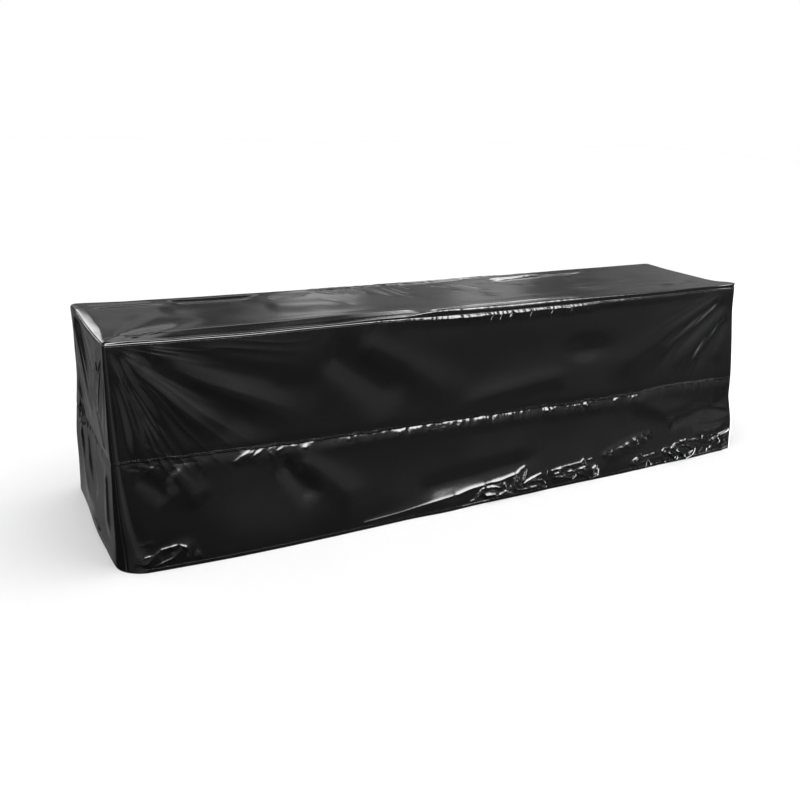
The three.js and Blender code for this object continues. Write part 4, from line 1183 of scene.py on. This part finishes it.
def with_patches(tree, direction, patches, strength):
    for patch in patches:
        toward = Vector((patch.x, patch.y, patch.z)).normalized()
        facing = node(tree, "VectorMath", direction, toward, operation="DOT_PRODUCT").outputs["Value"]
        edge, full = (math.cos(math.radians(angle)) for angle in (patch.edge, patch.full))
        strength = maths(tree, "ADD", eased(tree, facing, edge, full, 0.0, patch.strength), strength)
    return strength


def with_strip(tree, parts, strength, strip):
    low, high, soft, product = strip
    for source, start, end in (
        ("Z", rise_of(low - soft), rise_of(low)),
        ("Z", rise_of(high + soft), rise_of(high)),
        ("Y", *STRIP_BEHIND),
    ):
        product = maths(tree, "MULTIPLY", eased(tree, parts[source], start, end), product)
    return maths(tree, "ADD", strength, product)


def with_rear_wall(tree, parts, strength):
    turn = maths(tree, "ARCTAN2", parts["X"], parts["Y"])
    ramp = node(tree, "ValToRGB", maths(tree, "DIVIDE", turn, math.radians(90)))
    ramp.color_ramp.interpolation = "EASE"
    places = ramp.color_ramp.elements
    while len(places) < len(REAR_WALL):
        places.new(0.5)
    for place, (angle, _) in zip(places, REAR_WALL):
        place.position = angle / 90
    for place, (_, value) in zip(places, REAR_WALL):
        place.color = (value, value, value, 1)
    product = ramp.outputs[0]
    for start, end, *levels in (REAR_WALL_UP, REAR_WALL_DOWN):
        level = eased(tree, parts["Z"], rise_of(start), rise_of(end), *levels)
        product = maths(tree, "MULTIPLY", level, product)
    above = maths(tree, "GREATER_THAN", parts["Z"], 0.0)
    return maths(tree, "MULTIPLY_ADD", product, above, strength)


def make_world():
    world = bpy.data.worlds.new("studio")
    bpy.context.scene.world = world
    world.use_nodes = True
    tree = world.node_tree
    tree.nodes.clear()
    direction = node(tree, "TexCoord").outputs["Generated"]
    parts = node(tree, "SeparateXYZ", direction).outputs
    lights = with_patches(tree, direction, STUDIO, STUDIO_BASE)
    room = with_patches(tree, direction, ROOM, 0.0)
    clouds = node(tree, "TexNoise", Scale=5.0, Detail=2.0, Vector=direction).outputs["Fac"]
    mottled = node(tree, "MapRange", clouds, *MOTTLE).outputs["Result"]
    strength = with_rear_wall(tree, parts, maths(tree, "MULTIPLY_ADD", room, mottled, lights))
    for strip in STRIPS:
        strength = with_strip(tree, parts, strength, strip)

    def background(value):
        return node(tree, "Background", (1, 1, 1, 1), value).outputs[0]

    def choose(by, otherwise, chosen):
        return node(tree, "MixShader", by, otherwise, chosen).outputs[0]

    path = node(tree, "LightPath").outputs
    mirrored = choose(path["Is Glossy Ray"], background(ROOM_LIGHT), background(strength))
    node(tree, "OutputWorld", choose(path["Is Camera Ray"], mirrored, background(1.0)))


def make_softbox():
    data = bpy.data.lights.new("softbox", "AREA")
    data.shape = "RECTANGLE"
    data.size, data.size_y, data.energy = 4.0, 2.0, 45
    place, target = Vector((0.6, -0.8, 3.4)), Vector((0.1, 0, -0.5))
    light = add_object("softbox", data)
    light.location = place
    light.rotation_mode = "QUATERNION"
    light.rotation_quaternion = (target - place).to_track_quat("-Z", "Y")


CAMERA_ANGLES = (-29.561, 19.594, 2.579)  # round from the front, up and rolled, in degrees
CAMERA_TARGET = (-0.231, 0.0, 0.42)  # above the hem
CAMERA_DISTANCE = 4.688


def make_camera():
    azimuth, elevation, roll = (math.radians(angle) for angle in CAMERA_ANGLES)
    x, y, z = CAMERA_TARGET
    target = Vector((x, y, z + FLOOR_Z * MM))
    away = Vector((
        math.sin(azimuth) * math.cos(elevation),
        -math.cos(azimuth) * math.cos(elevation),
        math.sin(elevation),
    ))
    right = Vector((math.cos(azimuth), math.sin(azimuth), 0))
    up = away.cross(right)
    right, up = right * math.cos(roll) + up * math.sin(roll), up * math.cos(roll) - right * math.sin(roll)
    data = bpy.data.cameras.new("camera")
    data.sensor_width, data.lens = 36.0, 38.503
    camera = add_object("camera", data)
    turned = Matrix((right, up, away)).transposed().to_4x4()
    camera.matrix_world = Matrix.Translation(target + away * CAMERA_DISTANCE) @ turned
    bpy.context.scene.camera = camera


make_floor()
make_world()
make_softbox()
make_camera()
bpy.context.scene.view_settings.view_transform = "Standard"
